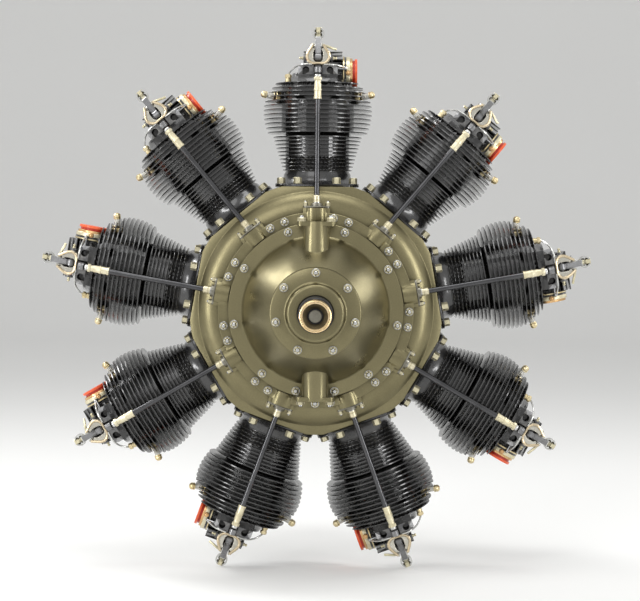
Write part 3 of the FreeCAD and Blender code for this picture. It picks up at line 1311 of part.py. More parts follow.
def main_bearing(back):
    """Closed bearing with its race grooves, carrying the crankshaft in a bearing wall."""
    inner = SHAFT_RADIUS + RUNNING_GAP
    front = back + BEARING_LENGTH
    groove = CHAMFER
    return turned_on_crank(
        (inner, back),
        (inner + BEARING_RACE, back),
        (inner + BEARING_RACE, back + groove),
        (BEARING_OUTER_RADIUS - BEARING_RACE, back + groove),
        (BEARING_OUTER_RADIUS - BEARING_RACE, back),
        (BEARING_OUTER_RADIUS, back),
        (BEARING_OUTER_RADIUS, front),
        (BEARING_OUTER_RADIUS - BEARING_RACE, front),
        (BEARING_OUTER_RADIUS - BEARING_RACE, front - groove),
        (inner + BEARING_RACE, front - groove),
        (inner + BEARING_RACE, front),
        (inner, front),
    )


def cam_drum():
    """Cam ring on a hub that turns on the propeller shaft, with four low lobes."""
    bush = SHAFT_RADIUS + RUNNING_GAP
    half_hub = CAM_HUB_LENGTH / 2
    half = CAM_THICKNESS / 2
    web = half / 2
    rim = CAM_RADIUS - CAM_THICKNESS
    drum = turned_on_crank(
        (bush, PUSHROD_FORWARD - half_hub),
        (CAM_HUB_RADIUS, PUSHROD_FORWARD - half_hub),
        (CAM_HUB_RADIUS, PUSHROD_FORWARD - web),
        (rim, PUSHROD_FORWARD - web),
        (rim, PUSHROD_FORWARD - half),
        (CAM_RADIUS, PUSHROD_FORWARD - half),
        (CAM_RADIUS, PUSHROD_FORWARD + half),
        (rim, PUSHROD_FORWARD + half),
        (rim, PUSHROD_FORWARD + web),
        (CAM_HUB_RADIUS, PUSHROD_FORWARD + web),
        (CAM_HUB_RADIUS, PUSHROD_FORWARD + half_hub),
        (bush, PUSHROD_FORWARD + half_hub),
    )
    back = PUSHROD_FORWARD - half
    front = PUSHROD_FORWARD + half
    foot = math.radians(CAM_LOBE_SPREAD)
    tip = math.radians(CAM_NOSE_SPREAD)
    lobe_sector = FULL_TURN / CAM_LOBE_COUNT
    for number in range(CAM_LOBE_COUNT):
        lobe = front_plate(
            back,
            front,
            (-rim * math.sin(foot), rim * math.cos(foot)),
            (-CAM_RADIUS * math.sin(foot), CAM_RADIUS * math.cos(foot)),
            (-CAM_LOBE_HEIGHT * math.sin(tip), CAM_LOBE_HEIGHT * math.cos(tip)),
            ((0, CAM_LOBE_HEIGHT), (CAM_LOBE_HEIGHT * math.sin(tip), CAM_LOBE_HEIGHT * math.cos(tip))),
            (CAM_RADIUS * math.sin(foot), CAM_RADIUS * math.cos(foot)),
            (rim * math.sin(foot), rim * math.cos(foot)),
            ((0, rim), (-rim * math.sin(foot), rim * math.cos(foot))),
        )
        drum = drum.fuse(on_crank(lobe, lobe_sector * number + lobe_sector / 2))
    return single_solid(drum)


def rear_cover():
    """Rear casing: joint flange, mounting ring with its blind holes, and the accessory drum."""
    step = REAR_JOINT - REAR_STEP_DEPTH
    mount = -ROW_TO_MOUNT
    drum_back = mount - REAR_DRUM_LENGTH
    ring_inner = REAR_DRUM_RADIUS - REAR_DRUM_WALL
    cover = turned_on_crank(
        (ring_inner, REAR_JOINT),
        (CAM_CASE_RADIUS, REAR_JOINT),
        (CAM_CASE_RADIUS, REAR_JOINT - CHAMFER),
        (REAR_FLANGE_RADIUS, REAR_JOINT - CHAMFER),
        (REAR_FLANGE_RADIUS, step),
        (REAR_RING_RADIUS, step),
        (REAR_RING_RADIUS, mount),
        (REAR_DRUM_RADIUS + REAR_STEP_DEPTH, mount),
        (REAR_DRUM_RADIUS, mount - REAR_STEP_DEPTH),
        (REAR_DRUM_RADIUS, drum_back + REAR_DRUM_WALL / 2),
        (REAR_DRUM_RADIUS - REAR_DRUM_WALL / 2, drum_back),
        (0, drum_back),
        (0, drum_back + REAR_DRUM_WALL),
        (ring_inner, drum_back + REAR_DRUM_WALL),
    )
    for number in range(CYLINDER_COUNT):
        place = polar(MOUNT_BOLT_RADIUS, SECTOR * number + SECTOR / 2, mount)
        hole = Part.makeCylinder(MOUNT_HOLE_RADIUS, MOUNT_HOLE_DEPTH, place, Vector(0, -1, 0))
        cover = cover.cut(hole)
    inlet = crank_rod(CARBURETTOR_BORE, drum_back, drum_back + REAR_DRUM_WALL, 0, -CARBURETTOR_DROP)
    return single_solid(cover.cut(inlet))


def accessory_back():
    """Forward distance of the accessory drum's back face."""
    return -ROW_TO_MOUNT - REAR_DRUM_LENGTH


def magneto(side):
    """Magneto with an arched body, a flat foot and a round distributor cap behind."""
    face = accessory_back()
    half = MAGNETO_BASE_WIDTH / 2
    across = side * MAGNETO_OFFSET
    foot = MAGNETO_HEIGHT - MAGNETO_RADIUS
    back = face - MAGNETO_LENGTH + MAGNETO_CAP_LENGTH
    body = front_plate(
        back,
        face,
        (across - half, foot),
        (across + half, foot),
        (across + half, MAGNETO_HEIGHT),
        ((across, MAGNETO_HEIGHT + half), (across - half, MAGNETO_HEIGHT)),
    )
    cap_front = back
    cap = crank_rod(MAGNETO_CAP_RADIUS, cap_front - MAGNETO_CAP_LENGTH, cap_front, across, MAGNETO_HEIGHT)
    knob_back = cap_front - MAGNETO_CAP_LENGTH - ACCESSORY_FLANGE
    knob = crank_rod(MAGNETO_CAP_RADIUS / 2, knob_back, cap_front, across, MAGNETO_HEIGHT)
    return single_solid(body.fuse(cap).fuse(knob))


def oil_pump():
    face = accessory_back()
    height = -OIL_PUMP_DROP
    body = crank_rod(OIL_PUMP_RADIUS, face - OIL_PUMP_LENGTH, face, 0, height)
    rim = OIL_PUMP_RADIUS + ACCESSORY_FLANGE
    flange = crank_rod(rim, face - ACCESSORY_FLANGE, face, 0, height)
    union = barrel_rod(ACCESSORY_FLANGE, height, height + rim, 0, face - OIL_PUMP_LENGTH / 2)
    return single_solid(body.fuse(flange).fuse(union))


def carburettor():
    """Elbow from the accessory drum down to an updraught carburettor with its float bowl."""
    face = accessory_back()
    outer = CARBURETTOR_BORE + CARBURETTOR_WALL
    axis_height = -CARBURETTOR_DROP
    straight = CARBURETTOR_REACH - CARBURETTOR_ELBOW_RADIUS
    turn_forward = face - straight
    throat_forward = turn_forward - CARBURETTOR_ELBOW_RADIUS
    turn_height = axis_height - CARBURETTOR_ELBOW_RADIUS
    bottom = turn_height - CARBURETTOR_LENGTH

    def passage(radius):
        """Straight pipe, quarter bend and vertical throat of one radius."""
        pipe = crank_rod(radius, turn_forward, face, 0, axis_height)
        start = Vector(0, along(turn_forward), axis_height)
        ring = Part.Wire(Part.makeCircle(radius, start, Vector(0, 1, 0)))
        centre = Vector(0, along(turn_forward), turn_height)
        bend = Part.Face(ring).revolve(centre, Vector(-1, 0, 0), 90)
        throat = barrel_rod(radius, bottom, turn_height, 0, throat_forward)
        return pipe.fuse(bend).fuse(throat)

    rim = outer + ACCESSORY_FLANGE
    flange = crank_rod(rim, face - ACCESSORY_FLANGE, face, 0, axis_height)
    lip = barrel_rod(rim, bottom, bottom + ACCESSORY_FLANGE, 0, throat_forward)
    bowl_forward = throat_forward - rim + 2 * ACCESSORY_FLANGE - FLOAT_BOWL_RADIUS
    bowl_bottom = bottom + (CARBURETTOR_LENGTH - FLOAT_BOWL_LENGTH) / 2
    bowl = barrel_rod(FLOAT_BOWL_RADIUS, bowl_bottom, bowl_bottom + FLOAT_BOWL_LENGTH, 0, bowl_forward)
    body = passage(outer).fuse(flange).fuse(lip).fuse(bowl).cut(passage(CARBURETTOR_BORE))
    hole = THROTTLE_SPINDLE_RADIUS + RUNNING_GAP
    spindle_hole = cross_rod(hole, -2 * outer, 2 * outer, throat_forward, throttle_height())
    return single_solid(body.cut(spindle_hole))


def throttle_height():
    """Height of the throttle spindle, a little below the elbow."""
    return -CARBURETTOR_DROP - CARBURETTOR_ELBOW_RADIUS - THROTTLE_DROP


def throttle_plate():
    """Butterfly disc on its cross spindle, with a lever outside the body."""
    forward = accessory_back() - CARBURETTOR_REACH
    height = throttle_height()
    half = THROTTLE_THICKNESS / 2
    outer = CARBURETTOR_BORE + CARBURETTOR_WALL
    disc = barrel_rod(CARBURETTOR_BORE - FACE_GAP, height - half, height + half, 0, forward)
    end = outer + FACE_GAP + 2 * THROTTLE_THICKNESS
    spindle = cross_rod(THROTTLE_SPINDLE_RADIUS, -outer, end, forward, height)
    lever = side_bar(
        THROTTLE_LEVER_WIDTH,
        2 * THROTTLE_THICKNESS - FACE_GAP,
        (forward, height),
        (forward - THROTTLE_LEVER_LENGTH, height),
    )
    lever.translate(Vector(outer + FACE_GAP + THROTTLE_THICKNESS, 0, 0))
    return single_solid(disc.fuse(spindle).fuse(lever))


def base_nuts():
    """Eight nuts on each cylinder's base flange, in four pairs near its corners."""
    nuts = []
    for corner in range(BASE_CORNERS):
        for side in (-1, 1):
            turn = math.radians(FULL_TURN / BASE_CORNERS * corner + side * BASE_STUD_SPREAD)
            across = BASE_STUD_RADIUS * math.sin(turn)
            forward = BASE_STUD_RADIUS * math.cos(turn)
            base = Vector(across, along(forward), FLANGE_TOP)
            nuts.append(hexagon(CASE_NUT_FLATS, CASE_NUT_HEIGHT, base, Vector(0, 0, 1)))
    return nuts


def stud_nut(radius, angle, forward, direction=-1):
    """Washer, nut and stud end on a face across the crank axis."""
    place = polar(radius, angle, forward)
    way = Vector(0, direction, 0)
    washer = Part.makeCylinder(WASHER_RADIUS, WASHER_THICKNESS, place, way)
    nut = hexagon(COVER_NUT_FLATS, COVER_NUT_HEIGHT, place + way * WASHER_THICKNESS, way)
    stud_length = WASHER_THICKNESS + COVER_NUT_HEIGHT + COVER_STUD_END
    stud = Part.makeCylinder(COVER_STUD_RADIUS, stud_length, place, way)
    return single_solid(washer.fuse(nut).fuse(stud))


def cover_screws():
    """Stud nuts of the cam case, the nose flange, the thrust cover and the rear cover."""
    nuts = []
    ring = CAM_CASE_RADIUS - JOINT_WALL / 2
    for number in range(CYLINDER_COUNT):
        middle = SECTOR * number + SECTOR / 2
        nuts.append(stud_nut(ring, middle, CAM_CASE_FRONT))
        nuts.append(stud_nut(ring, middle - RING_SCREW_STEP, CAM_CASE_FRONT))
        if abs(middle - HALF_TURN) > POINT_TOLERANCE:
            nuts.append(stud_nut(NOSE_BOLT_RADIUS, middle, NOSE_FLANGE_FRONT))
        for side in (-1, 1):
            rear_place = middle + side * SECTOR / 4
            rear_radius = (REAR_FLANGE_RADIUS + REAR_RING_RADIUS) / 2
            nuts.append(stud_nut(rear_radius, rear_place, REAR_JOINT - REAR_STEP_DEPTH, 1))
    for side in (-1, 1):
        nuts.append(stud_nut(NOSE_BOLT_RADIUS, HALF_TURN + side * LOWER_SCREW_STEP, NOSE_FLANGE_FRONT))
    for number in range(THRUST_BOLT_COUNT):
        nuts.append(stud_nut(THRUST_BOLT_RADIUS, FULL_TURN / THRUST_BOLT_COUNT * number, COVER_FRONT))
    return nuts


def guide_nuts():
    """Two nuts on each tappet guide and two on each boss of the nose cone."""
    upward = Vector(0, 0, 1)
    nuts = []
    for side in (-1, 1):
        base = Vector(side * GUIDE_NUT_OFFSET, along(PUSHROD_FORWARD), GUIDE_OUTER)
        nuts += per_cylinder(hexagon(SMALL_NUT_FLATS, SMALL_NUT_HEIGHT, base, upward))
        across = side * (BOSS_FLANGE_WIDTH / 2 - SMALL_NUT_FLATS)
        base = Vector(across, along(NOSE_FLANGE_FRONT + BOSS_SETBACK), BOSS_TOP_HEIGHT)
        boss_nut = hexagon(CASE_NUT_FLATS, SMALL_NUT_HEIGHT, base, upward)
        nuts += [on_crank(boss_nut, 0), on_crank(boss_nut, HALF_TURN)]
    return nuts


def all_round(shapes):
    """Every shape of a list, repeated for each cylinder."""
    return [copy for shape in shapes for copy in per_cylinder(shape)]


def pistons():
    return [on_crank(piston(gudgeon_height(SECTOR * n)), SECTOR * n) for n in range(CYLINDER_COUNT)]


def piston_rings():
    rings = []
    for number in range(CYLINDER_COUNT):
        gudgeon = gudgeon_height(SECTOR * number)
        rings += [on_crank(piston_ring(ring, gudgeon), SECTOR * number) for ring in range(RING_COUNT)]
    return rings


def gudgeon_pins():
    return [on_crank(gudgeon_pin(gudgeon_height(SECTOR * n)), SECTOR * n) for n in range(CYLINDER_COUNT)]


def port_blanks():
    copies = per_cylinder(port_blank())
    del copies[OPEN_PORT_CYLINDER]
    return copies


def fixed_nodes():
    """Every node that stays still, by name."""
    bearing_back = BEARING_WALL_BACK - BEARING_WALL_CLEARANCE
    rear_bearing_back = -bearing_back - BEARING_LENGTH
    spokes = range(1, CYLINDER_COUNT)
    return {
        "crankcase_front": [crankcase_front()],
        "crankcase_rear": [crankcase_rear()],
        "cam_case": [cam_case()],
        "nose_cone": [nose_cone()],
        "thrust_cover": [thrust_cover()],
        "rear_cover": [rear_cover()],
        "cylinder_barrels": per_cylinder(cylinder_barrel()),
        "cylinder_heads": per_cylinder(cylinder_head()),
        "tappet_guides": per_cylinder(tappet_guide()),
        "port_flanges": per_cylinder(port_flange()),
        "port_blanks": port_blanks(),
        "spark_plugs": all_round([spark_plug(-1), spark_plug(1)]),
        "rocker_brackets": per_cylinder(rocker_bracket()),
        "rocker_saddles": per_cylinder(rocker_saddle()),
        "rocker_pins": per_cylinder(rocker_pin()),
        "valve_guides": per_cylinder(valve_guide()),
        "case_nuts": all_round(base_nuts()) + guide_nuts(),
        "cover_screws": cover_screws(),
        "crankpin": [crankpin()],
        "master_rod": [master_rod()],
        "articulated_rods": [articulated_rod(SECTOR * number) for number in spokes],
        "rod_pins": [knuckle_pin(SECTOR * number) for number in spokes] + gudgeon_pins(),
        "pistons": pistons(),
        "piston_rings": piston_rings(),
        "main_bearings": [main_bearing(bearing_back), main_bearing(rear_bearing_back)],
        "magnetos": [magneto(-1), magneto(1)],
        "oil_pump": [oil_pump()],
        "carburettor": [carburettor()],
    }


def moving_nodes():
    """Every node that moves, by name; each cylinder has its own pushrod, rocker and valve."""
    nodes = {
        "crankshaft_front": [crankshaft_front()],
        "crankshaft_rear": [crankshaft_rear()],
        "prop_nut": [prop_nut()],
        "cam_drum": [cam_drum()],
        "throttle_plate": [throttle_plate()],
    }
    gear = {
        "pushrod": [tappet(), pushrod()],
        "rocker": [rocker(), adjuster()],
        "valve": [valve(), retainer(), valve_spring()],
    }
    for name, shapes in gear.items():
        for number in range(CYLINDER_COUNT):
            nodes[name + "_" + str(number + 1)] = [on_crank(shape, SECTOR * number) for shape in shapes]
    return nodes


def export_all():
    os.makedirs("parts", exist_ok=True)
    nodes = fixed_nodes()
    nodes.update(moving_nodes())
    for name, solids in nodes.items():
        shape = solids[0] if len(solids) == 1 else Part.makeCompound(solids)
        shape.exportStep(os.path.join("parts", name + ".step"))
        print(name, len(solids), round(sum(solid.Volume for solid in solids)))


export_all()
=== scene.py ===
import math

import bmesh
import bpy
import numpy as np
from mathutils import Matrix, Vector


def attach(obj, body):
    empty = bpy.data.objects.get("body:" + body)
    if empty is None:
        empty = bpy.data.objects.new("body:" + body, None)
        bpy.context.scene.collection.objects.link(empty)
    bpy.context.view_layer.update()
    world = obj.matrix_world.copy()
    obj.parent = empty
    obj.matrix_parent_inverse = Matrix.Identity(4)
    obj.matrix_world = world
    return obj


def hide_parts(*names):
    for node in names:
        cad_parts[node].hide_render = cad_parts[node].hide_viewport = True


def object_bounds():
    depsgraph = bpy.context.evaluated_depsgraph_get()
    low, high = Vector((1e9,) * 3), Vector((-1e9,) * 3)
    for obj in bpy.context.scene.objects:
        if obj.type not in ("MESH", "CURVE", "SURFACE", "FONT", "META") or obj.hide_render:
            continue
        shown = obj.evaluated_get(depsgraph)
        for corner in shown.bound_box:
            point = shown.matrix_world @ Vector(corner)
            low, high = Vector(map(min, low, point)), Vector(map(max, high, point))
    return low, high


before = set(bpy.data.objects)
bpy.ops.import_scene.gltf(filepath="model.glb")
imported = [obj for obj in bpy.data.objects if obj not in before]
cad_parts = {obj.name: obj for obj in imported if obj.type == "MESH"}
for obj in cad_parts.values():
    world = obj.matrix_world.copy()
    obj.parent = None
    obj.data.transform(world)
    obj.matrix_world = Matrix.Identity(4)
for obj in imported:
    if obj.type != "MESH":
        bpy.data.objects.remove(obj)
CAD_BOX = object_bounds()

bl_info = {
    "name": "Radial aircraft engine",
    "version": (1, 0, 0),
    "blender": (4, 5, 0),
    "location": "View3D > Sidebar > Engine",
    "description": "Finishes, fasteners, plugs, springs and pushrods of a nine-cylinder radial engine",
    "category": "Object",
}

MM = 0.001
CYLINDERS = 9
SECTOR = 2 * math.pi / CYLINDERS
ROW_Y = -150.0
AHEAD = (0, -1, 0)
ASTERN = (0, 1, 0)

# Places in millimetres: forward is in front of the cylinder row, height is from the crank axis.
BASE_FLANGE_TOP = 255.0
BASE_STUD_RADIUS = 84.0
BASE_STUD_SPREAD = 28.2
BASE_NUT_HEIGHT = 13.0
GUIDE_TOP = 209.0
GUIDE_NUT_OFFSET = 22.5
PUSHROD_FORWARD = 132.0
BALL_HEIGHT = 470.0
BALL_RADIUS = 6.0
BOSS_FORWARD = 196.0
BOSS_TOP = 178.0
BOSS_NUT_OFFSET = 29.0
GUIDE_NUT_FLATS = 9.0
SMALL_NUT_HEIGHT = 8.0
CAM_CASE_FRONT = 152.0
NOSE_FLANGE_FRONT = 162.0
COVER_FRONT = 276.0
SHAFT_NUT_BACK = 358.2
RING_SCREW_RADIUS = 187.5
RING_SCREW_STEP = 9.5
NOSE_SCREW_RADIUS = 166.0
LOWER_SCREW_STEP = 13.5
THRUST_SCREW_RADIUS = 79.0
THRUST_SCREWS = 7
REAR_SCREW_RADIUS = 193.5
REAR_SCREW_FACE = -124.0
PLUG_HEIGHT = 417.0
PLUG_SEAT = 84.0
PLUG_TILT = 11.0
PLUG_TURN = 15.0
VALVE_TOP = 552.0
RETAINER_TOP = 544.0
SPRING_FOOT = 521.5
SPRING_RADIUS = 14.8
PORT_AXIS_HEIGHT = 484.0
PORT_FLANGE_RADIUS = 36.0
YOKE_FRONT = 71.4
UNION_TOP = [-61.0, 46.0, 476.0]
UNION_DEPTH = 13.0
PIN_HEIGHT = 512.0
PIN_FORWARD = 55.0
VALVE_SEAT = 447.0


class EngineSizes(bpy.types.PropertyGroup):
    """Sizes of the small pieces, in metres."""

    case_nut_flats: bpy.props.FloatProperty(
        name="Case nut", description="Width across flats of the cylinder base nuts",
        default=0.015, min=0.010, max=0.018, unit="LENGTH")
    cover_nut_flats: bpy.props.FloatProperty(
        name="Cover nut", description="Width across flats of the castellated nuts on the covers",
        default=0.013, min=0.010, max=0.016, unit="LENGTH")
    spring_wire: bpy.props.FloatProperty(
        name="Spring wire", description="Radius of the valve springs' wire",
        default=0.0017, min=0.001, max=0.003, unit="LENGTH")
    spring_turns: bpy.props.IntProperty(
        name="Spring turns", description="Turns of each valve spring", default=5, min=3, max=8)


class EngineColours(bpy.types.PropertyGroup):
    """Base colours of the finishes."""

    casting: bpy.props.FloatVectorProperty(
        name="Castings", description="Aged alloy of the crankcase and nose",
        default=(0.215, 0.19, 0.105), subtype="COLOR", min=0, max=1)
    enamel: bpy.props.FloatVectorProperty(
        name="Enamel", description="Black enamel of the cylinders",
        default=(0.014, 0.014, 0.015), subtype="COLOR", min=0, max=1)
    plating: bpy.props.FloatVectorProperty(
        name="Plating", description="Plated nuts and screws",
        default=(0.74, 0.68, 0.47), subtype="COLOR", min=0, max=1)
    brass: bpy.props.FloatVectorProperty(
        name="Brass", description="Brass of the plugs and unions",
        default=(0.70, 0.56, 0.30), subtype="COLOR", min=0, max=1)
    bronze: bpy.props.FloatVectorProperty(
        name="Bronze", description="Bronze of the valve guides",
        default=(0.66, 0.49, 0.27), subtype="COLOR", min=0, max=1)
    steel: bpy.props.FloatVectorProperty(
        name="Steel", description="Dark forged steel",
        default=(0.12, 0.12, 0.125), subtype="COLOR", min=0, max=1)
    blank: bpy.props.FloatVectorProperty(
        name="Port blanks", description="Red port blanks",
        default=(0.74, 0.045, 0.02), subtype="COLOR", min=0, max=1)


# Shapes: a shape is (points in millimetres, list of (corner index array, material number)).

def grid_faces(rows, columns, close_rows=False):
    """Four-cornered faces between neighbours on a rows x columns grid that closes round its columns."""
    last = rows if close_rows else rows - 1
    row = np.arange(last)[:, None]
    column = np.arange(columns)[None, :]
    here = row * columns + column
    beside = row * columns + (column + 1) % columns
    above = ((row + 1) % rows) * columns + column
    corner = ((row + 1) % rows) * columns + (column + 1) % columns
    return np.stack([here, beside, corner, above], axis=-1)


def turned(profile, sides=24, close=False, bands=None):
    """Point (i, t) is (r cos t, r sin t, z) with r and z from profile row i.

    A third number in a row, from 0 to 1, draws the ring from a circle towards a hexagon of corner radius r:
    r is then divided by cos(angle from the middle of the flat) / cos 30 degrees.
    """
    rows = np.array([tuple(row) + (0.0,) * (3 - len(row)) for row in profile], dtype=float)
    turn = np.arange(sides) * 2 * math.pi / sides
    flat = np.mod(turn, math.pi / 3) - math.pi / 6
    hexagon = math.cos(math.pi / 6) / np.cos(flat)
    radius = rows[:, :1] * (1 + rows[:, 2:] * (hexagon[None, :] - 1))
    height = np.repeat(rows[:, 1:2], sides, axis=1)
    points = np.stack([radius * np.cos(turn), radius * np.sin(turn), height], axis=-1)
    quads = grid_faces(len(rows), sides, close)
    bands = [0] * len(quads) if bands is None else bands
    faces = [(quads[number], band) for number, band in enumerate(bands)]
    if not close:
        faces.append((np.arange(sides)[::-1][None, :], bands[0]))
        faces.append(((len(rows) - 1) * sides + np.arange(sides)[None, :], bands[-1]))
    return points.reshape(-1, 3), faces


def swept(path, radius, sides=8, upward=(0, 0, 1)):
    """Tube round a path: point (i, t) is the path point plus radius times (n cos t + b sin t).

    n is the part of the upward direction that is square to the path, and b is tangent x n.
    """
    path = np.asarray(path, dtype=float)
    tangent = np.gradient(path, axis=0)
    tangent /= np.linalg.norm(tangent, axis=1)[:, None]
    upward = np.asarray(upward, dtype=float)
    normal = upward - (tangent @ upward)[:, None] * tangent
    normal /= np.linalg.norm(normal, axis=1)[:, None]
    side = np.cross(tangent, normal)
    turn = np.arange(sides) * 2 * math.pi / sides
    reach = np.broadcast_to(radius, (len(path),))[:, None, None]
    cosine = np.cos(turn)[None, :, None]
    sine = np.sin(turn)[None, :, None]
    points = path[:, None] + reach * (normal[:, None] * cosine + side[:, None] * sine)
    quads = grid_faces(len(path), sides)
    first = np.arange(sides)[::-1][None, :]
    last = (len(path) - 1) * sides + np.arange(sides)[None, :]
    return points.reshape(-1, 3), [(quads.reshape(-1, 4), 0), (first, 0), (last, 0)]


def painted(shape, number):
    """The same shape with another material number."""
    return shape[0], [(faces, number) for faces, _ in shape[1]]


def placed(shape, base, direction=(0, 0, 1)):
    """The shape turned so that its Z lies along direction, then moved to base."""
    direction = np.asarray(direction, dtype=float)
    direction /= np.linalg.norm(direction)
    helper = np.array([0.0, 1.0, 0.0]) if abs(direction[1]) < 0.9 else np.array([1.0, 0.0, 0.0])
    across = np.cross(helper, direction)
    across /= np.linalg.norm(across)
    other = np.cross(direction, across)
    return shape[0] @ np.stack([across, other, direction]) + np.asarray(base, dtype=float), shape[1]


def joined(shapes):
    """One shape out of several."""
    start = 0
    points, faces = [], []
    for shape_points, shape_faces in shapes:
        points.append(shape_points)
        faces += [(corners + start, number) for corners, number in shape_faces]
        start += len(shape_points)
    return np.concatenate(points), faces


def on_crank(shape, angle):
    """The shape turned clockwise about the crank axis: x' = x cos a + z sin a, z' = z cos a - x sin a."""
    points = shape[0]
    x = points[:, 0] * math.cos(angle) + points[:, 2] * math.sin(angle)
    z = points[:, 2] * math.cos(angle) - points[:, 0] * math.sin(angle)
    return np.stack([x, points[:, 1], z], axis=-1), shape[1]


def per_cylinder(shape):
    """The shape once for each cylinder, all as one."""
    return joined([on_crank(shape, SECTOR * number) for number in range(CYLINDERS)])


def clock_place(radius, degrees, forward):
    """Point at a clock angle about the crank axis, in millimetres."""
    turn = math.radians(degrees)
    return (radius * math.sin(turn), ROW_Y - forward, radius * math.cos(turn))


def make_mesh(name, shape):
    """Mesh from whole arrays, in metres."""
    points, groups = shape
    mesh = bpy.data.meshes.new(name)
    corners = np.concatenate([faces.ravel() for faces, _ in groups])
    counts = [faces.size // faces.shape[-1] for faces, _ in groups]
    totals = np.repeat([faces.shape[-1] for faces, _ in groups], counts)
    numbers = np.repeat([number for _, number in groups], counts)
    starts = np.concatenate([[0], np.cumsum(totals)[:-1]])
    mesh.vertices.add(len(points))
    mesh.vertices.foreach_set("co", (points * MM).ravel())
    mesh.loops.add(len(corners))
    mesh.loops.foreach_set("vertex_index", corners.astype(np.int32))
    mesh.polygons.add(len(totals))
    mesh.polygons.foreach_set("loop_start", starts.astype(np.int32))
    mesh.polygons.foreach_set("material_index", numbers.astype(np.int32))
    mesh.update(calc_edges=True)
    return mesh


def finish_piece(mesh, body, finishes, replaced=(), sharp=35.0):
    """Puts the mesh in the scene on its body, soft up to an angle; a string names its finishes."""
    for look in finishes.split():
        mesh.materials.append(finish(look))
    mesh.polygons.foreach_set("use_smooth", np.ones(len(mesh.polygons), dtype=bool))
    mesh.set_sharp_from_angle(angle=math.radians(sharp))
    piece = bpy.data.objects.new(mesh.name, mesh)
    bpy.context.scene.collection.objects.link(piece)
    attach(piece, body)
    if replaced:
        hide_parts(*replaced)
    return piece


def new_piece(name, shape, body, finishes, replaced=()):
    """A new piece made from a shape; see finish_piece."""
    return finish_piece(make_mesh(name, shape), body, finishes, replaced)


def local_places(mesh):
    """Face centres as (across, forward, height) of the nearest cylinder, in millimetres.

    The nearest cylinder number is the clock angle over the sector, rounded; its turn is then taken out.
    """
    centres = np.empty(len(mesh.polygons) * 3)
    mesh.polygons.foreach_get("center", centres)
    x, y, z = (centres.reshape(-1, 3) / MM).T
    turn = np.round(np.arctan2(x, z) / SECTOR) * SECTOR
    across = x * np.cos(turn) - z * np.sin(turn)
    height = x * np.sin(turn) + z * np.cos(turn)
    return across, ROW_Y - y, height


def dressed_copy(node, finishes, body="root", edge=0.0, choose=None):
    """A merged copy of a frame node with soft shading, and a small round on its edges where edge is given.

    choose takes the faces' places on their cylinder and gives each face's material number.
    """
    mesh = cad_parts[node].data.copy()
    mesh.name = node + "_dressed"
    mesh.materials.clear()
    work = bmesh.new()
    work.from_mesh(mesh)
    bmesh.ops.remove_doubles(work, verts=work.verts, dist=0.00001)
    work.to_mesh(mesh)
    work.free()
    if choose:
        numbers = np.asarray(choose(*local_places(mesh)), dtype=np.int32)
        mesh.polygons.foreach_set("material_index", numbers)
    piece = finish_piece(mesh, body, finishes, (node,), sharp=28.0)
    if edge:
        bevel = piece.modifiers.new("Edge", "BEVEL")
        bevel.width = edge
        bevel.segments = 2
        bevel.limit_method = "ANGLE"
        bevel.angle_limit = math.radians(40)
        bevel.use_clamp_overlap = True
    return piece


def paint_node(name, material):
    """Gives a frame node that stays in view its finish."""
    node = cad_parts[name]
    if not node.material_slots:
        node.data.materials.append(material)
    for slot in node.material_slots:
        slot.material = material


# Finishes, with their scales on Object coordinates in metres
GRAIN_SCALE = 420.0
RING_SCALE = 90.0
BUMP_DEPTH = 0.0004
# Painted shade: how far the ambient occlusion that darkens corners reaches, and the dark colour mixed in
# there.
SHADE_REACH = 0.010
PAINTED_SHADE_COLOUR = (0.02, 0.018, 0.014, 1.0)


def add_node(tree, kind, inputs=None, **settings):
    """A shader node with its settings, and its inputs given as values or as sockets to link from."""
    node = tree.nodes.new("ShaderNode" + kind)
    for key, value in settings.items():
        setattr(node, key, value)
    for key, value in (inputs or {}).items():
        socket = node.inputs[key]
        if isinstance(value, bpy.types.NodeSocket):
            tree.links.new(value, socket)
        else:
            socket.default_value = value
    return node


def colour4(colour):
    """The colour with a full alpha."""
    return tuple(colour) + (1.0,)


def noise(tree, place, scale, detail=4.0):
    """Cloudy pattern between 0 and 1."""
    inputs = {"Vector": place, "Scale": scale, "Detail": detail, "Roughness": 0.55}
    return add_node(tree, "TexNoise", inputs).outputs["Fac"]


def stretch(tree, value, low, high, bottom=0.0, top=1.0):
    """Value between low and high becomes a number between bottom and top."""
    inputs = {"Value": value, "From Min": low, "From Max": high, "To Min": bottom, "To Max": top}
    return add_node(tree, "MapRange", inputs).outputs["Result"]


def blend(tree, share, first, second):
    """Colour mix; the share and both colours are values or sockets."""
    return add_node(tree, "Mix", {0: share, 6: first, 7: second}, data_type="RGBA").outputs[2]


def maths(tree, operation, first, second):
    """One sum, product or the like of two values or sockets."""
    return add_node(tree, "Math", {0: first, 1: second}, operation=operation).outputs[0]


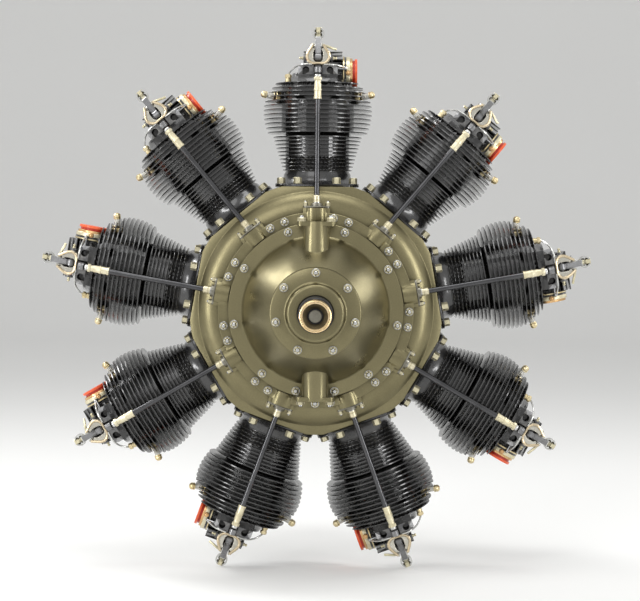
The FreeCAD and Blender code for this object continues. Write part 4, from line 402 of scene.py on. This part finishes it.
def metal_finish(name, colour, worn, metallic, rough_low, rough_high, mottle=14.0, bump=0.15,
                 corner_shade=0.0, coat=0.0, rings=0.0, worn_share=(0.35, 0.75)):
    """Metal or enamel: two tones by a coarse noise, roughness and bump by a fine one, painted shade in
    corners.

    mottle is how close the coarse noise is, corner_shade how dark the painted shade in the corners is, and
    worn_share the part of the coarse noise over which the second tone comes in. rings adds fine turning
    marks round the crank axis.
    """
    material = bpy.data.materials.new(name)
    material.use_nodes = True
    tree = material.node_tree
    tree.nodes.clear()
    place = add_node(tree, "TexCoord").outputs["Object"]
    coarse = noise(tree, place, mottle)
    small = noise(tree, place, GRAIN_SCALE, 3.0)
    tone = blend(tree, stretch(tree, coarse, *worn_share), colour4(colour), colour4(worn))
    speck = stretch(tree, small, 0.35, 0.7, 0.92, 1.06)
    hue = add_node(tree, "HueSaturation", {"Value": speck, "Color": tone})
    tone = hue.outputs["Color"]
    # Painted shade: corners and recesses are darkened by ambient occlusion, as if they lay in shade.
    if corner_shade:
        corner = add_node(tree, "AmbientOcclusion", {"Distance": SHADE_REACH}, samples=6)
        painted_shade_share = stretch(tree, corner.outputs["AO"], 0.25, 0.85, corner_shade, 0.0)
        tone = blend(tree, painted_shade_share, tone, PAINTED_SHADE_COLOUR)
    roughness = stretch(tree, coarse, 0.3, 0.75, rough_low, rough_high)
    height_in = small
    if rings:
        inputs = {"Vector": place, "Scale": RING_SCALE, "Distortion": 0.6, "Detail": 2.0}
        marks = add_node(tree, "TexWave", inputs, wave_type="RINGS", rings_direction="Y").outputs["Fac"]
        height_in = maths(tree, "ADD", small, maths(tree, "MULTIPLY", marks, rings))
    bumpy = add_node(tree, "Bump", {"Strength": bump, "Distance": BUMP_DEPTH, "Height": height_in})
    shader = add_node(tree, "BsdfPrincipled", {
        "Base Color": tone, "Roughness": roughness, "Metallic": metallic, "Normal": bumpy.outputs["Normal"],
        "Coat Weight": coat, "Coat Roughness": 0.12})
    out = add_node(tree, "OutputMaterial", {"Surface": shader.outputs["BSDF"]})
    out.is_active_output = True
    return material


def shade(colour, share):
    """The colour made darker by a share."""
    return tuple(channel * share for channel in colour)


# The corner darkening set in each finish below is painted shade.
MAKERS = {
    "cast_alloy": lambda c: metal_finish(
        "cast_alloy_aged", c.casting, shade(c.casting, 0.8), 0.9, 0.27, 0.4, corner_shade=0.7, bump=0.1,
        rings=0.3),
    "black_enamel": lambda c: metal_finish(
        "black_enamel_gloss", c.enamel, (0.05, 0.047, 0.044), 0.0, 0.2, 0.36, mottle=30.0,
        corner_shade=0.5, coat=0.8, bump=0.08, worn_share=(0.45, 0.9)),
    "machined_alloy": lambda c: metal_finish(
        "machined_alloy", (0.56, 0.54, 0.46), (0.42, 0.40, 0.32), 0.9, 0.28, 0.45, corner_shade=0.6,
        rings=0.3),
    "plated_steel": lambda c: metal_finish(
        "plated_steel", c.plating, shade(c.plating, 0.78), 0.75, 0.28, 0.46, mottle=60.0, corner_shade=0.5),
    "brass": lambda c: metal_finish(
        "pale_brass", c.brass, (0.78, 0.70, 0.48), 0.9, 0.22, 0.42, mottle=45.0, corner_shade=0.6),
    "bronze": lambda c: metal_finish(
        "worn_bronze", c.bronze, (0.80, 0.70, 0.60), 0.9, 0.25, 0.45, mottle=50.0, corner_shade=0.6),
    "red_blank": lambda c: metal_finish(
        "red_blank", c.blank, shade(c.blank, 0.85), 0.0, 0.28, 0.4, mottle=40.0, bump=0.05, corner_shade=0.35),
    "dark_steel": lambda c: metal_finish(
        "dark_forged_steel", c.steel, (0.24, 0.235, 0.225), 0.95, 0.28, 0.5, mottle=70.0, corner_shade=0.5),
    "polished_steel": lambda c: metal_finish(
        "polished_steel", (0.46, 0.46, 0.47), (0.34, 0.34, 0.34), 1.0, 0.16, 0.3, mottle=50.0,
        corner_shade=0.3),
    "cast_iron": lambda c: metal_finish(
        "ground_iron", (0.20, 0.20, 0.20), (0.14, 0.13, 0.12), 0.9, 0.3, 0.5),
    "ceramic": lambda c: metal_finish(
        "white_insulator", (0.80, 0.79, 0.74), (0.66, 0.62, 0.54), 0.0, 0.12, 0.3, mottle=40.0,
        bump=0.03, corner_shade=0.3),
    "pushrod": lambda c: metal_finish(
        "pushrod_steel", (0.10, 0.10, 0.104), (0.07, 0.07, 0.073), 1.0, 0.09, 0.18, mottle=30.0,
        bump=0.03),
    "forged_grey": lambda c: metal_finish(
        "forged_grey", (0.26, 0.26, 0.265), (0.18, 0.18, 0.18), 1.0, 0.24, 0.42, mottle=60.0,
        corner_shade=0.5),
    "guide_steel": lambda c: metal_finish(
        "guide_steel", (0.26, 0.25, 0.21), (0.16, 0.15, 0.12), 0.95, 0.26, 0.42, mottle=40.0,
        corner_shade=0.8),
    "yoke_silver": lambda c: metal_finish(
        "yoke_silver", (0.60, 0.58, 0.51), (0.44, 0.42, 0.36), 1.0, 0.22, 0.4, mottle=60.0, corner_shade=0.7),
    "oiled_steel": lambda c: metal_finish(
        "oiled_steel", (0.030, 0.030, 0.033), (0.018, 0.018, 0.02), 0.6, 0.35, 0.55, mottle=60.0,
        corner_shade=0.5),
    "nut_gold": lambda c: metal_finish(
        "nut_gold", (0.72, 0.52, 0.27), (0.84, 0.68, 0.44), 1.0, 0.2, 0.34, mottle=70.0, corner_shade=0.4,
        rings=0.5),
    "nut_cone": lambda c: metal_finish(
        "nut_cone", (0.26, 0.21, 0.12), (0.18, 0.14, 0.08), 0.9, 0.3, 0.45, mottle=70.0, corner_shade=0.4,
        rings=0.5),
    "yoke_brass": lambda c: metal_finish(
        "yoke_brass", (0.66, 0.55, 0.38), (0.50, 0.42, 0.29), 0.95, 0.22, 0.4, mottle=70.0, corner_shade=0.6),
    "cream_plate": lambda c: metal_finish(
        "cream_plate", (0.78, 0.72, 0.52), (0.64, 0.57, 0.38), 0.7, 0.28, 0.45, mottle=60.0, corner_shade=0.5),
    "copper_wash": lambda c: metal_finish(
        "copper_wash", (0.72, 0.46, 0.22), (0.56, 0.34, 0.16), 0.95, 0.22, 0.4, mottle=70.0, corner_shade=0.5),
    "red_disc": lambda c: metal_finish(
        "red_disc", (0.95, 0.155, 0.05), (0.85, 0.10, 0.03), 0.0, 0.25, 0.38, mottle=40.0,
        bump=0.05, corner_shade=0.3),
    "bright_steel": lambda c: metal_finish(
        "bright_steel", (0.66, 0.66, 0.64), (0.5, 0.5, 0.48), 1.0, 0.18, 0.34, mottle=60.0, corner_shade=0.4),
}
FINISHES = {}


def finish(name):
    """The material of a finish, made at its first use."""
    if name not in FINISHES:
        FINISHES[name] = MAKERS[name](bpy.context.scene.engine_colours)
    return FINISHES[name]


def nut_shape(flats, height, stud=True):
    """Chamfered hexagon nut on its washer, and the stud's end standing out of it where it has one.

    The corner radius is flats / sqrt 3; the washer, the chamfer and the thread are shares of the flats.
    """
    corner = flats / math.sqrt(3)
    washer = flats * 0.09
    rows = [(corner * 1.1, 0.0), (corner * 1.14, washer * 0.3), (corner * 1.1, washer),
            (corner, washer + 0.01, 1.0), (corner, height - flats * 0.08, 1.0), (flats * 0.47, height)]
    bands = [0] * (len(rows) - 1)
    if stud:
        thread = flats * 0.29
        rows += [(thread, height), (thread, height + flats * 0.16), (thread * 0.75, height + flats * 0.24)]
        bands += [0, 1, 1]
    return turned(rows, 12, bands=bands)


def castle_nut(flats):
    """Castellated nut on a broad washer, with the stud's rounded end in its crown.

    The crown's rings are the turned rows with the height lowered by a slot's depth at every third point.
    """
    corner = flats / math.sqrt(3)
    rows = [(8.3, 0.0), (8.5, 0.3), (8.5, 1.1), (8.1, 1.5), (corner * 0.99, 1.51, 1.0), (corner, 1.9, 1.0),
            (corner, 5.2, 1.0), (corner * 0.88, 5.9), (corner * 0.86, 8.3), (corner * 0.80, 8.5),
            (corner * 0.60, 8.5), (corner * 0.56, 6.2), (3.6, 6.2), (3.6, 10.2), (2.7, 11.0)]
    points, faces = turned(rows, 18, bands=[0] * 4 + [1] * 6 + [2] * 2 + [0] * 2)
    points = points.reshape(len(rows), 18, 3)
    points[8:11, ::3, 2] -= 2.3
    return points.reshape(-1, 3), faces


class ENGINE_OT_castings(bpy.types.Operator):
    """Finish of the crankcase, cam case, nose, covers and accessories."""

    bl_idname = "engine.castings"
    bl_label = "Castings"

    def execute(self, context):
        for node in ("crankcase_front", "crankcase_rear", "cam_case", "nose_cone", "rear_cover",
                     "oil_pump"):
            dressed_copy(node, "cast_alloy", edge=0.0008)
        dressed_copy("tappet_guides", "guide_steel", edge=0.0006)
        dressed_copy("magnetos", "black_enamel", edge=0.0006)
        dressed_copy("carburettor", "machined_alloy", edge=0.0006)
        return {"FINISHED"}


class ENGINE_OT_thrust_cover(bpy.types.Operator):
    """Small round cover whose hub has a broad rounded rim."""

    bl_idname = "engine.thrust_cover"
    bl_label = "Thrust cover"

    def execute(self, context):
        bore, edge, hub = 35.4, 89.0, 57.0
        back, hub_front = COVER_FRONT - 14.0, COVER_FRONT + 16.0
        fillet, rounding = 6.0, 7.0
        rows = [(bore, back), (edge, back), (edge, COVER_FRONT - 2.4), (edge - 0.6, COVER_FRONT - 0.8),
                (edge - 2.0, COVER_FRONT)]
        rows += [(hub + fillet * (1 - math.sin(step)), COVER_FRONT + fillet * (1 - math.cos(step)))
                 for step in np.linspace(0, math.pi / 2, 7)]
        rows += [(hub - rounding * (1 - math.cos(step)), hub_front - rounding * (1 - math.sin(step)))
                 for step in np.linspace(0, math.pi / 2, 9)]
        rows += [(bore + 1.0, hub_front), (bore, hub_front - 0.8)]
        cover = placed(turned(rows, 120, close=True), (0, ROW_Y, 0), AHEAD)
        new_piece("thrust_cover_turned", cover, "root", "cast_alloy", ("thrust_cover",))
        return {"FINISHED"}


class ENGINE_OT_shaft_nut(bpy.types.Operator):
    """Turned nut on the shaft's end: grooved gold rim, darker cone and a small plug."""

    bl_idname = "engine.shaft_nut"
    bl_label = "Shaft nut"

    def execute(self, context):
        skirt = [(30.6, 0.0), (31.0, 0.6), (31.0, 33.2), (30.3, 35.1), (28.8, 35.8)]
        groove = [(28.3, 35.5), (28.1, 34.6), (27.5, 34.6)]
        rim = [(27.3, 35.3), (26.0, 35.6), (24.4, 35.3)]
        cone = [(23.8, 34.2), (15.4, 22.6)]
        recess = [(14.9, 22.2), (12.4, 22.2)]
        plug = [(12.1, 27.0), (11.4, 27.6), (2.0, 27.8)]
        bands = [0] * 11 + [1] * 2 + [2] * 2 + [3] * 2
        nut = turned(skirt + groove + rim + cone + recess + plug, 72, bands=bands)
        nut = placed(nut, (0, ROW_Y - SHAFT_NUT_BACK, 0), AHEAD)
        new_piece("prop_nut_turned", nut, "crankshaft",
                  "nut_gold nut_cone oiled_steel guide_steel", ("prop_nut",))
        return {"FINISHED"}


class ENGINE_OT_cylinders(bpy.types.Operator):
    """Black finned barrels and heads."""

    bl_idname = "engine.cylinders"
    bl_label = "Cylinders"

    def execute(self, context):
        dressed_copy("cylinder_barrels", "black_enamel")
        dressed_copy("cylinder_heads", "black_enamel")
        return {"FINISHED"}


class ENGINE_OT_ports(bpy.types.Operator):
    """Side port flanges with their clamp bolts, and the red blanks."""

    bl_idname = "engine.ports"
    bl_label = "Ports"

    def execute(self, context):
        dressed_copy("port_flanges", "cream_plate copper_wash", edge=0.0006,
                     choose=lambda across, forward, height: across > 66.1)
        dressed_copy("port_blanks", "red_blank red_disc", edge=0.0005,
                     choose=lambda across, forward, height: across > 75.9)
        bolt = turned([(5.6, -3.0), (5.6, 1.6), (4.9, 2.4), (4.7, 2.4, 1.0), (4.7, 6.2, 1.0), (3.9, 7.0),
                       (2.4, 7.0), (2.2, 8.4), (1.2, 9.0)], 12)
        ring = turned([(35.8, 0.0), (37.0, 0.0), (37.0, 2.4), (35.8, 2.4)], 48, close=True)
        shapes = [placed(ring, (51.6, ROW_Y, PORT_AXIS_HEIGHT), (1, 0, 0))]
        for turn in (0.0, math.pi):
            way = np.array([0, -math.cos(turn), math.sin(turn)])
            seat = np.array([62.0, ROW_Y, PORT_AXIS_HEIGHT]) + way * PORT_FLANGE_RADIUS
            shapes.append(painted(placed(bolt, seat, way), 1))
        new_piece("port_clamp_bolts", per_cylinder(joined(shapes)), "root", "brass copper_wash")
        return {"FINISHED"}


def lever_finish(across, forward, height):
    """Plating on the adjuster over the valve, bright metal on the rest of the tip, forged steel below."""
    tip = np.where(height > 557.0, 2, 0)
    return np.where(np.hypot(across, forward) < 8.2, 1, tip) * (height > 551.0)


class ENGINE_OT_rockers(bpy.types.Operator):
    """Rocker levers with their adjusting nuts, and the yokes and saddles that carry them."""

    bl_idname = "engine.rockers"
    bl_label = "Rocker gear"

    def execute(self, context):
        dressed_copy("rocker_brackets", "yoke_silver", edge=0.0012)
        half = np.array([[11.6, 500.4], [16.9, 503.2], [20.9, 507.4], [22.9, 513.5], [21.6, 520.2],
                         [18.0, 526.7], [13.8, 532.6], [10.4, 538.0]])
        outline = np.concatenate([half[::-1] * (-1, 1), half])
        front = np.full(len(outline), ROW_Y - YOKE_FRONT)
        rim = swept(np.stack([outline[:, 0], front, outline[:, 1]], axis=-1), 3.0, 10, AHEAD)
        new_piece("yoke_rims", per_cylinder(rim), "root", "yoke_brass")
        dressed_copy("rocker_saddles", "dark_steel polished_steel", edge=0.0009,
                     choose=lambda across, forward, height: (np.abs(across) > 36.0) | (height > 497.5))
        for number in range(CYLINDERS):
            node = "rocker_%d" % (number + 1)
            dressed_copy(node, "forged_grey plated_steel bright_steel", node, edge=0.0006,
                         choose=lever_finish)
        return {"FINISHED"}


class ENGINE_OT_fittings(bpy.types.Operator):
    """Grease nipples of the rocker pins, and the oil pipe, strap and wing on each head."""

    bl_idname = "engine.fittings"
    bl_label = "Small fittings"

    def execute(self, context):
        nipple = turned([(3.6, 0.0), (3.6, 3.0), (2.2, 3.6), (2.2, 5.0), (3.1, 6.2), (3.1, 7.6),
                         (1.4, 9.0)], 12)
        union = turned([(6.5, 0.0), (6.5, 6.0), (5.4, 7.0), (5.4, 9.0), (7.0, 9.4, 1.0), (7.0, 15.0, 1.0),
                        (4.6, 16.6)], 12)
        shapes = [placed(nipple, (side * 29.8, ROW_Y - PIN_FORWARD, PIN_HEIGHT), (side, 0, 0))
                  for side in (-1, 1)]
        pipe = np.array([[-12.0, 72.6, 498.0], [-20.0, 72.6, 498.6], [-28.0, 72.0, 498.4],
                         [-35.0, 69.0, 497.2], [-41.0, 64.0, 496.0], [-47.0, 58.0, 493.6],
                         [-52.0, 53.5, 490.0], [-57.0, 49.0, 485.0], [-60.5, 46.4, 480.5], UNION_TOP])
        strap = np.array([[12.0, 72.6, 497.6], [20.0, 72.6, 497.6], [28.0, 71.6, 497.4],
                          [36.0, 67.0, 497.0], [43.0, 59.0, 496.4], [49.0, 50.0, 495.6],
                          [54.0, 42.0, 494.8], [58.6, 36.0, 494.0]])
        wing = np.array([[13.0, 66.0, 536.6], [18.0, 66.0, 535.4], [24.0, 65.0, 533.4],
                         [30.0, 63.0, 531.2], [37.0, 60.0, 529.4]])
        for path, wide, number in ((pipe, 1.9, 1), (strap, 2.4, 1), (wing, 2.6, 0)):
            place = np.stack([path[:, 0], ROW_Y - path[:, 1], path[:, 2]], axis=-1)
            shapes.append(painted(swept(place, wide, 8, (0, -0.3, 1)), number))
        across, forward, height = UNION_TOP
        shapes.append(painted(placed(union, (across, ROW_Y - forward, height - UNION_DEPTH)), 2))
        new_piece("oil_fittings", per_cylinder(joined(shapes)), "root",
                  "plated_steel bright_steel brass")
        return {"FINISHED"}


class ENGINE_OT_nuts(bpy.types.Operator):
    """Nuts of the cylinder bases, tappet guides and nose bosses."""

    bl_idname = "engine.nuts"
    bl_label = "Nuts"

    def execute(self, context):
        flats = context.scene.engine_sizes.case_nut_flats / MM
        shapes = []
        base_nut = nut_shape(flats, BASE_NUT_HEIGHT, stud=False)
        guide_nut = nut_shape(GUIDE_NUT_FLATS, SMALL_NUT_HEIGHT)
        boss_nut = nut_shape(flats, SMALL_NUT_HEIGHT)
        for quarter in range(4):
            for side in (-1, 1):
                turn = math.radians(90 * quarter + side * BASE_STUD_SPREAD)
                across = BASE_STUD_RADIUS * math.sin(turn)
                forward = BASE_STUD_RADIUS * math.cos(turn)
                shapes.append(placed(base_nut, (across, ROW_Y - forward, BASE_FLANGE_TOP)))
        for side in (-1, 1):
            place = (side * GUIDE_NUT_OFFSET, ROW_Y - PUSHROD_FORWARD, GUIDE_TOP)
            shapes.append(placed(guide_nut, place))
        nuts = per_cylinder(joined(shapes))
        boss = joined([placed(boss_nut, (side * BOSS_NUT_OFFSET, ROW_Y - BOSS_FORWARD, BOSS_TOP))
                       for side in (-1, 1)])
        nuts = joined([nuts, boss, on_crank(boss, math.pi)])
        new_piece("case_nuts_detailed", nuts, "root",
                  "plated_steel polished_steel", ("case_nuts",))
        return {"FINISHED"}


class ENGINE_OT_cover_nuts(bpy.types.Operator):
    """Castellated nuts of the cam case, nose, small cover and rear cover."""

    bl_idname = "engine.cover_nuts"
    bl_label = "Cover nuts"

    def execute(self, context):
        head = castle_nut(context.scene.engine_sizes.cover_nut_flats / MM)
        sector = math.degrees(SECTOR)
        front, rear = [], []
        for number in range(CYLINDERS):
            middle = sector * (number + 0.5)
            front.append(clock_place(RING_SCREW_RADIUS, middle, CAM_CASE_FRONT))
            front.append(clock_place(RING_SCREW_RADIUS, middle - RING_SCREW_STEP, CAM_CASE_FRONT))
            if number != CYLINDERS // 2:
                front.append(clock_place(NOSE_SCREW_RADIUS, middle, NOSE_FLANGE_FRONT))
            for side in (-1, 1):
                rear.append(clock_place(REAR_SCREW_RADIUS, middle + side * sector / 4, REAR_SCREW_FACE))
        for side in (-1, 1):
            turn = 180 + side * LOWER_SCREW_STEP
            front.append(clock_place(NOSE_SCREW_RADIUS, turn, NOSE_FLANGE_FRONT))
        for number in range(THRUST_SCREWS):
            front.append(clock_place(THRUST_SCREW_RADIUS, 360 / THRUST_SCREWS * number, COVER_FRONT))
        shapes = [placed(head, place, AHEAD) for place in front]
        shapes += [placed(head, place, ASTERN) for place in rear]
        new_piece("cover_screws_detailed", joined(shapes), "root",
                  "bright_steel plated_steel dark_steel", ("cover_screws",))
        return {"FINISHED"}


class ENGINE_OT_plugs(bpy.types.Operator):
    """Spark plugs: brass shell, hexagon, ribbed insulator and terminal cap."""

    bl_idname = "engine.plugs"
    bl_label = "Spark plugs"

    def execute(self, context):
        shell = [(7.0, -20.0), (7.0, -0.6), (11.8, -0.5), (11.8, 0.9), (11.5, 1.0, 1.0), (11.5, 7.4, 1.0),
                 (9.6, 8.4), (8.4, 8.6), (8.4, 13.0), (7.4, 13.6)]
        ribs = [(5.8, 13.8), (6.5, 15.2), (5.4, 16.6), (6.5, 18.0), (5.4, 19.4), (6.5, 20.8), (5.4, 22.2),
                (6.2, 23.6), (5.2, 25.4), (5.2, 27.8)]
        cap = [(7.5, 28.0), (7.5, 30.4), (6.4, 31.0), (7.4, 31.6), (7.4, 35.4), (5.2, 38.2), (3.0, 39.5)]
        plug = turned(shell + ribs + cap, 18, bands=[0] * 9 + [1] * 10 + [0] * 7)
        shapes = []
        tilt = math.radians(PLUG_TILT)
        turn = math.radians(PLUG_TURN)
        level = math.cos(tilt)
        for side in (-1, 1):
            way = np.array([side * level * math.cos(turn), -level * math.sin(turn), math.sin(tilt)])
            shapes.append(placed(plug, np.array([0, ROW_Y, PLUG_HEIGHT]) + way * PLUG_SEAT, way))
        new_piece("spark_plugs_detailed", per_cylinder(joined(shapes)), "root",
                  "brass ceramic", ("spark_plugs",))
        return {"FINISHED"}


class ENGINE_OT_pushrods(bpy.types.Operator):
    """Pushrods with their ferrules, adjusting nut and ball, and the tappets under them."""

    bl_idname = "engine.pushrods"
    bl_label = "Pushrods"

    def execute(self, context):
        tappet = [(8.0, 148.3), (8.0, 216.8)]
        foot = [(7.5, 217.0), (7.5, 220.6), (6.9, 221.2), (7.5, 221.8), (7.5, 229.0)]
        tube = [(5.5, 231.0), (5.5, 424.0)]
        ferrule = [(8.0, 424.2), (8.0, 427.5), (7.3, 428.2), (7.3, 440.0), (8.0, 440.6), (8.0, 443.0),
                   (7.0, 445.0), (7.0, 455.0), (6.2, 456.0), (6.2, 461.0)]
        nut = [(7.9, 462.0, 1.0), (7.9, 467.2, 1.0), (6.6, 468.0), (3.0, 468.2)]
        steps = np.linspace(-math.pi / 3, math.pi / 2 * 0.96, 9)
        ball = [(BALL_RADIUS * math.cos(step), BALL_HEIGHT + BALL_RADIUS * math.sin(step))
                for step in steps]
        bands = [0] + [1] * 6 + [2] + [1] * 14 + [3] * (len(ball) - 1)
        rod = turned(tappet + foot + tube + ferrule + nut + ball, 18, bands=bands)
        rod = placed(rod, (0, ROW_Y - PUSHROD_FORWARD, 0))
        for number in range(CYLINDERS):
            node = "pushrod_%d" % (number + 1)
            new_piece(node + "_detailed", on_crank(rod, SECTOR * number), node,
                      "polished_steel cream_plate pushrod bright_steel", (node,))
        return {"FINISHED"}


class ENGINE_OT_valves(bpy.types.Operator):
    """Valves with their retainers and coil springs.

    The spring is a tube round a helix whose height is level over the first and last twelfth of its length.
    """

    bl_idname = "engine.valves"
    bl_label = "Valves and springs"

    def execute(self, context):
        sizes = context.scene.engine_sizes
        wire = sizes.spring_wire / MM
        stem = [(26.7, VALVE_SEAT - 5.0), (26.8, VALVE_SEAT - 2.5), (24.4, VALVE_SEAT),
                (12.0, VALVE_SEAT + 3.5), (6.4, VALVE_SEAT + 11.0), (5.0, VALVE_SEAT + 18.0),
                (5.0, VALVE_TOP - 0.6), (4.4, VALVE_TOP)]
        retainer = [(5.05, RETAINER_TOP - 5.0), (17.0, RETAINER_TOP - 4.0), (18.0, RETAINER_TOP - 3.4),
                    (18.0, RETAINER_TOP - 1.0), (17.0, RETAINER_TOP), (9.0, RETAINER_TOP - 0.2),
                    (7.6, RETAINER_TOP + 1.4), (5.05, RETAINER_TOP + 1.6)]
        low = SPRING_FOOT + wire
        high = RETAINER_TOP - 4.2 - wire
        along = np.linspace(0, 1, sizes.spring_turns * 24 + 1)
        turn = along * sizes.spring_turns * 2 * math.pi
        rise = low + (high - low) * np.clip((along - 0.08) / 0.84, 0, 1)
        coil = np.stack([SPRING_RADIUS * np.cos(turn), SPRING_RADIUS * np.sin(turn), rise], axis=-1)
        spring = painted(swept(coil, wire, 8), 1)
        shape = joined([turned(stem, 18), turned(retainer, 24, close=True), spring])
        shape = placed(shape, (0, ROW_Y, 0))
        for number in range(CYLINDERS):
            node = "valve_%d" % (number + 1)
            new_piece(node + "_detailed", on_crank(shape, SECTOR * number), node,
                      "bright_steel dark_steel", (node,))
        return {"FINISHED"}


class ENGINE_OT_inner(bpy.types.Operator):
    """Finish of the frame's own nodes that stay: shaft, rods, pistons and small pins."""

    bl_idname = "engine.inner"
    bl_label = "Shaft and inner pieces"

    def execute(self, context):
        painted_nodes = {
            "crankshaft_front": "oiled_steel", "crankshaft_rear": "dark_steel", "cam_drum": "dark_steel",
            "throttle_plate": "brass", "rocker_pins": "dark_steel", "valve_guides": "bronze",
            "crankpin": "polished_steel", "master_rod": "polished_steel", "rod_pins": "polished_steel",
            "articulated_rods": "polished_steel", "main_bearings": "polished_steel",
            "pistons": "machined_alloy", "piston_rings": "cast_iron"}
        for name, look in painted_nodes.items():
            paint_node(name, finish(look))
        return {"FINISHED"}


def seen_directly(tree):
    """1 where the surface or the sky is looked at straight, in metal or through glass, otherwise 0."""
    path = add_node(tree, "LightPath").outputs
    either = maths(tree, "MAXIMUM", path["Is Camera Ray"], path["Is Glossy Ray"])
    return maths(tree, "MAXIMUM", either, path["Is Transmission Ray"])


def backdrop_finish():
    """Pale paper with a faint cloud that keeps the object's shadow."""
    material = bpy.data.materials.new("backdrop_paper")
    material.use_nodes = True
    tree = material.node_tree
    tree.nodes.clear()
    place = add_node(tree, "TexCoord").outputs["Object"]
    cloud = noise(tree, place, 1.5)
    share = stretch(tree, cloud, 0.3, 0.7)
    tone = blend(tree, share, (0.80, 0.80, 0.79, 1.0), (0.785, 0.785, 0.775, 1.0))
    lift = maths(tree, "MULTIPLY", seen_directly(tree), 0.22)
    shader = add_node(tree, "BsdfPrincipled", {
        "Base Color": tone, "Roughness": 0.9, "Specular IOR Level": 0.2,
        "Emission Color": (1.0, 1.0, 0.99, 1.0), "Emission Strength": lift})
    add_node(tree, "OutputMaterial", {"Surface": shader.outputs["BSDF"]})
    return material


def aimed(item, place, target):
    """Puts a lamp or the camera at a place with its -Z towards the target; gives the turn as a matrix."""
    item.location = place
    turn = (Vector(target) - Vector(place)).to_track_quat("-Z", "Y").to_matrix().to_4x4()
    item.rotation_euler = turn.to_euler()
    return turn


class ENGINE_OT_stage(bpy.types.Operator):
    """Pale floor and backdrop, soft lamps and the camera.

    The backdrop is a strip: a level floor, a quarter circle up to the wall, and the wall.
    """

    bl_idname = "engine.stage"
    bl_label = "Stage"

    def execute(self, context):
        scene = context.scene
        floor_z = CAD_BOX[0][2] / MM - 2.0
        half = 9000.0
        bend = 1500.0
        wall_y = 8400.0
        wall_height = 7000.0
        turn = np.linspace(0, math.pi / 2, 17)
        y = np.concatenate([[-half], wall_y - bend + bend * np.sin(turn), [wall_y]])
        z = np.concatenate([[floor_z], floor_z + bend - bend * np.cos(turn), [floor_z + wall_height]])
        x = np.array([-half, half])
        points = np.stack(np.broadcast_arrays(x[None, :], y[:, None], z[:, None]), axis=-1)
        row = np.arange(len(y) - 1) * 2
        faces = np.stack([row, row + 1, row + 3, row + 2], axis=-1)
        mesh = make_mesh("backdrop", (points.reshape(-1, 3), [(faces, 0)]))
        mesh.materials.append(backdrop_finish())
        mesh.polygons.foreach_set("use_smooth", np.ones(len(mesh.polygons), dtype=bool))
        backdrop = bpy.data.objects.new("backdrop", mesh)
        scene.collection.objects.link(backdrop)

        world = bpy.data.worlds.new("studio")
        scene.world = world
        world.use_nodes = True
        tree = world.node_tree
        tree.nodes.clear()
        light_or_seen = stretch(tree, seen_directly(tree), 0.0, 1.0, 0.38, 0.85)
        sky = add_node(tree, "Background", {"Color": (1.0, 1.0, 0.99, 1.0), "Strength": light_or_seen})
        add_node(tree, "OutputWorld", {"Surface": sky.outputs["Background"]})

        lamps = (("strip_left", (-2.45, -2.2, 0.35), 0.4, 2.6, 42.0),
                 ("strip_right", (2.45, -2.2, 0.35), 0.4, 2.6, 34.0),
                 ("top_box", (0.0, -0.9, 3.2), 2.4, 1.2, 34.0),
                 ("side_left", (-2.2, 0.7, 2.1), 0.6, 1.4, 44.0),
                 ("side_right", (2.8, 0.7, 1.3), 0.4, 1.4, 22.0),
                 ("front_box", (-1.2, -3.6, 2.4), 2.0, 2.0, 26.0))
        for name, place, width, tall, watts in lamps:
            light = bpy.data.lights.new(name, "AREA")
            light.shape = "RECTANGLE"
            light.size = width
            light.size_y = tall
            light.energy = watts
            lamp = bpy.data.objects.new(name, light)
            scene.collection.objects.link(lamp)
            aimed(lamp, place, (0.0, ROW_Y * MM, 0.0))
            lamp.visible_camera = False

        camera = bpy.data.cameras.new("camera")
        camera.sensor_width = 36.0
        camera.lens = 101.0
        camera.clip_end = 50.0
        eye = bpy.data.objects.new("camera", camera)
        scene.collection.objects.link(eye)
        turn_to = aimed(eye, (0.013, -3.900, 0.180), (0.0081, -0.150, 0.01295))
        roll = Matrix.Rotation(math.radians(0.5), 4, "Z")
        eye.rotation_euler = (turn_to @ roll).to_euler()
        scene.camera = eye
        scene.view_settings.view_transform = "Standard"
        return {"FINISHED"}


class ENGINE_PT_panel(bpy.types.Panel):
    """Sizes, colours and pieces of the engine."""

    bl_label = "Radial engine"
    bl_idname = "ENGINE_PT_panel"
    bl_space_type = "VIEW_3D"
    bl_region_type = "UI"
    bl_category = "Engine"

    def draw(self, context):
        for group in (context.scene.engine_sizes, context.scene.engine_colours):
            for key in group.bl_rna.properties.keys():
                if key not in ("rna_type", "name"):
                    self.layout.prop(group, key)
        for step in STEPS:
            self.layout.operator(step.bl_idname)


STEPS = (ENGINE_OT_castings, ENGINE_OT_thrust_cover, ENGINE_OT_shaft_nut, ENGINE_OT_cylinders,
         ENGINE_OT_ports, ENGINE_OT_rockers, ENGINE_OT_fittings, ENGINE_OT_nuts, ENGINE_OT_cover_nuts,
         ENGINE_OT_plugs, ENGINE_OT_pushrods, ENGINE_OT_valves, ENGINE_OT_inner, ENGINE_OT_stage)
CLASSES = (EngineSizes, EngineColours) + STEPS + (ENGINE_PT_panel,)


def register():
    for item in CLASSES:
        bpy.utils.register_class(item)
    bpy.types.Scene.engine_sizes = bpy.props.PointerProperty(type=EngineSizes)
    bpy.types.Scene.engine_colours = bpy.props.PointerProperty(type=EngineColours)


def unregister():
    del bpy.types.Scene.engine_colours
    del bpy.types.Scene.engine_sizes
    for item in reversed(CLASSES):
        bpy.utils.unregister_class(item)


def main():
    register()
    for step in STEPS:
        group, name = step.bl_idname.split(".")
        getattr(getattr(bpy.ops, group), name)()


if __name__ == "__main__":
    main()
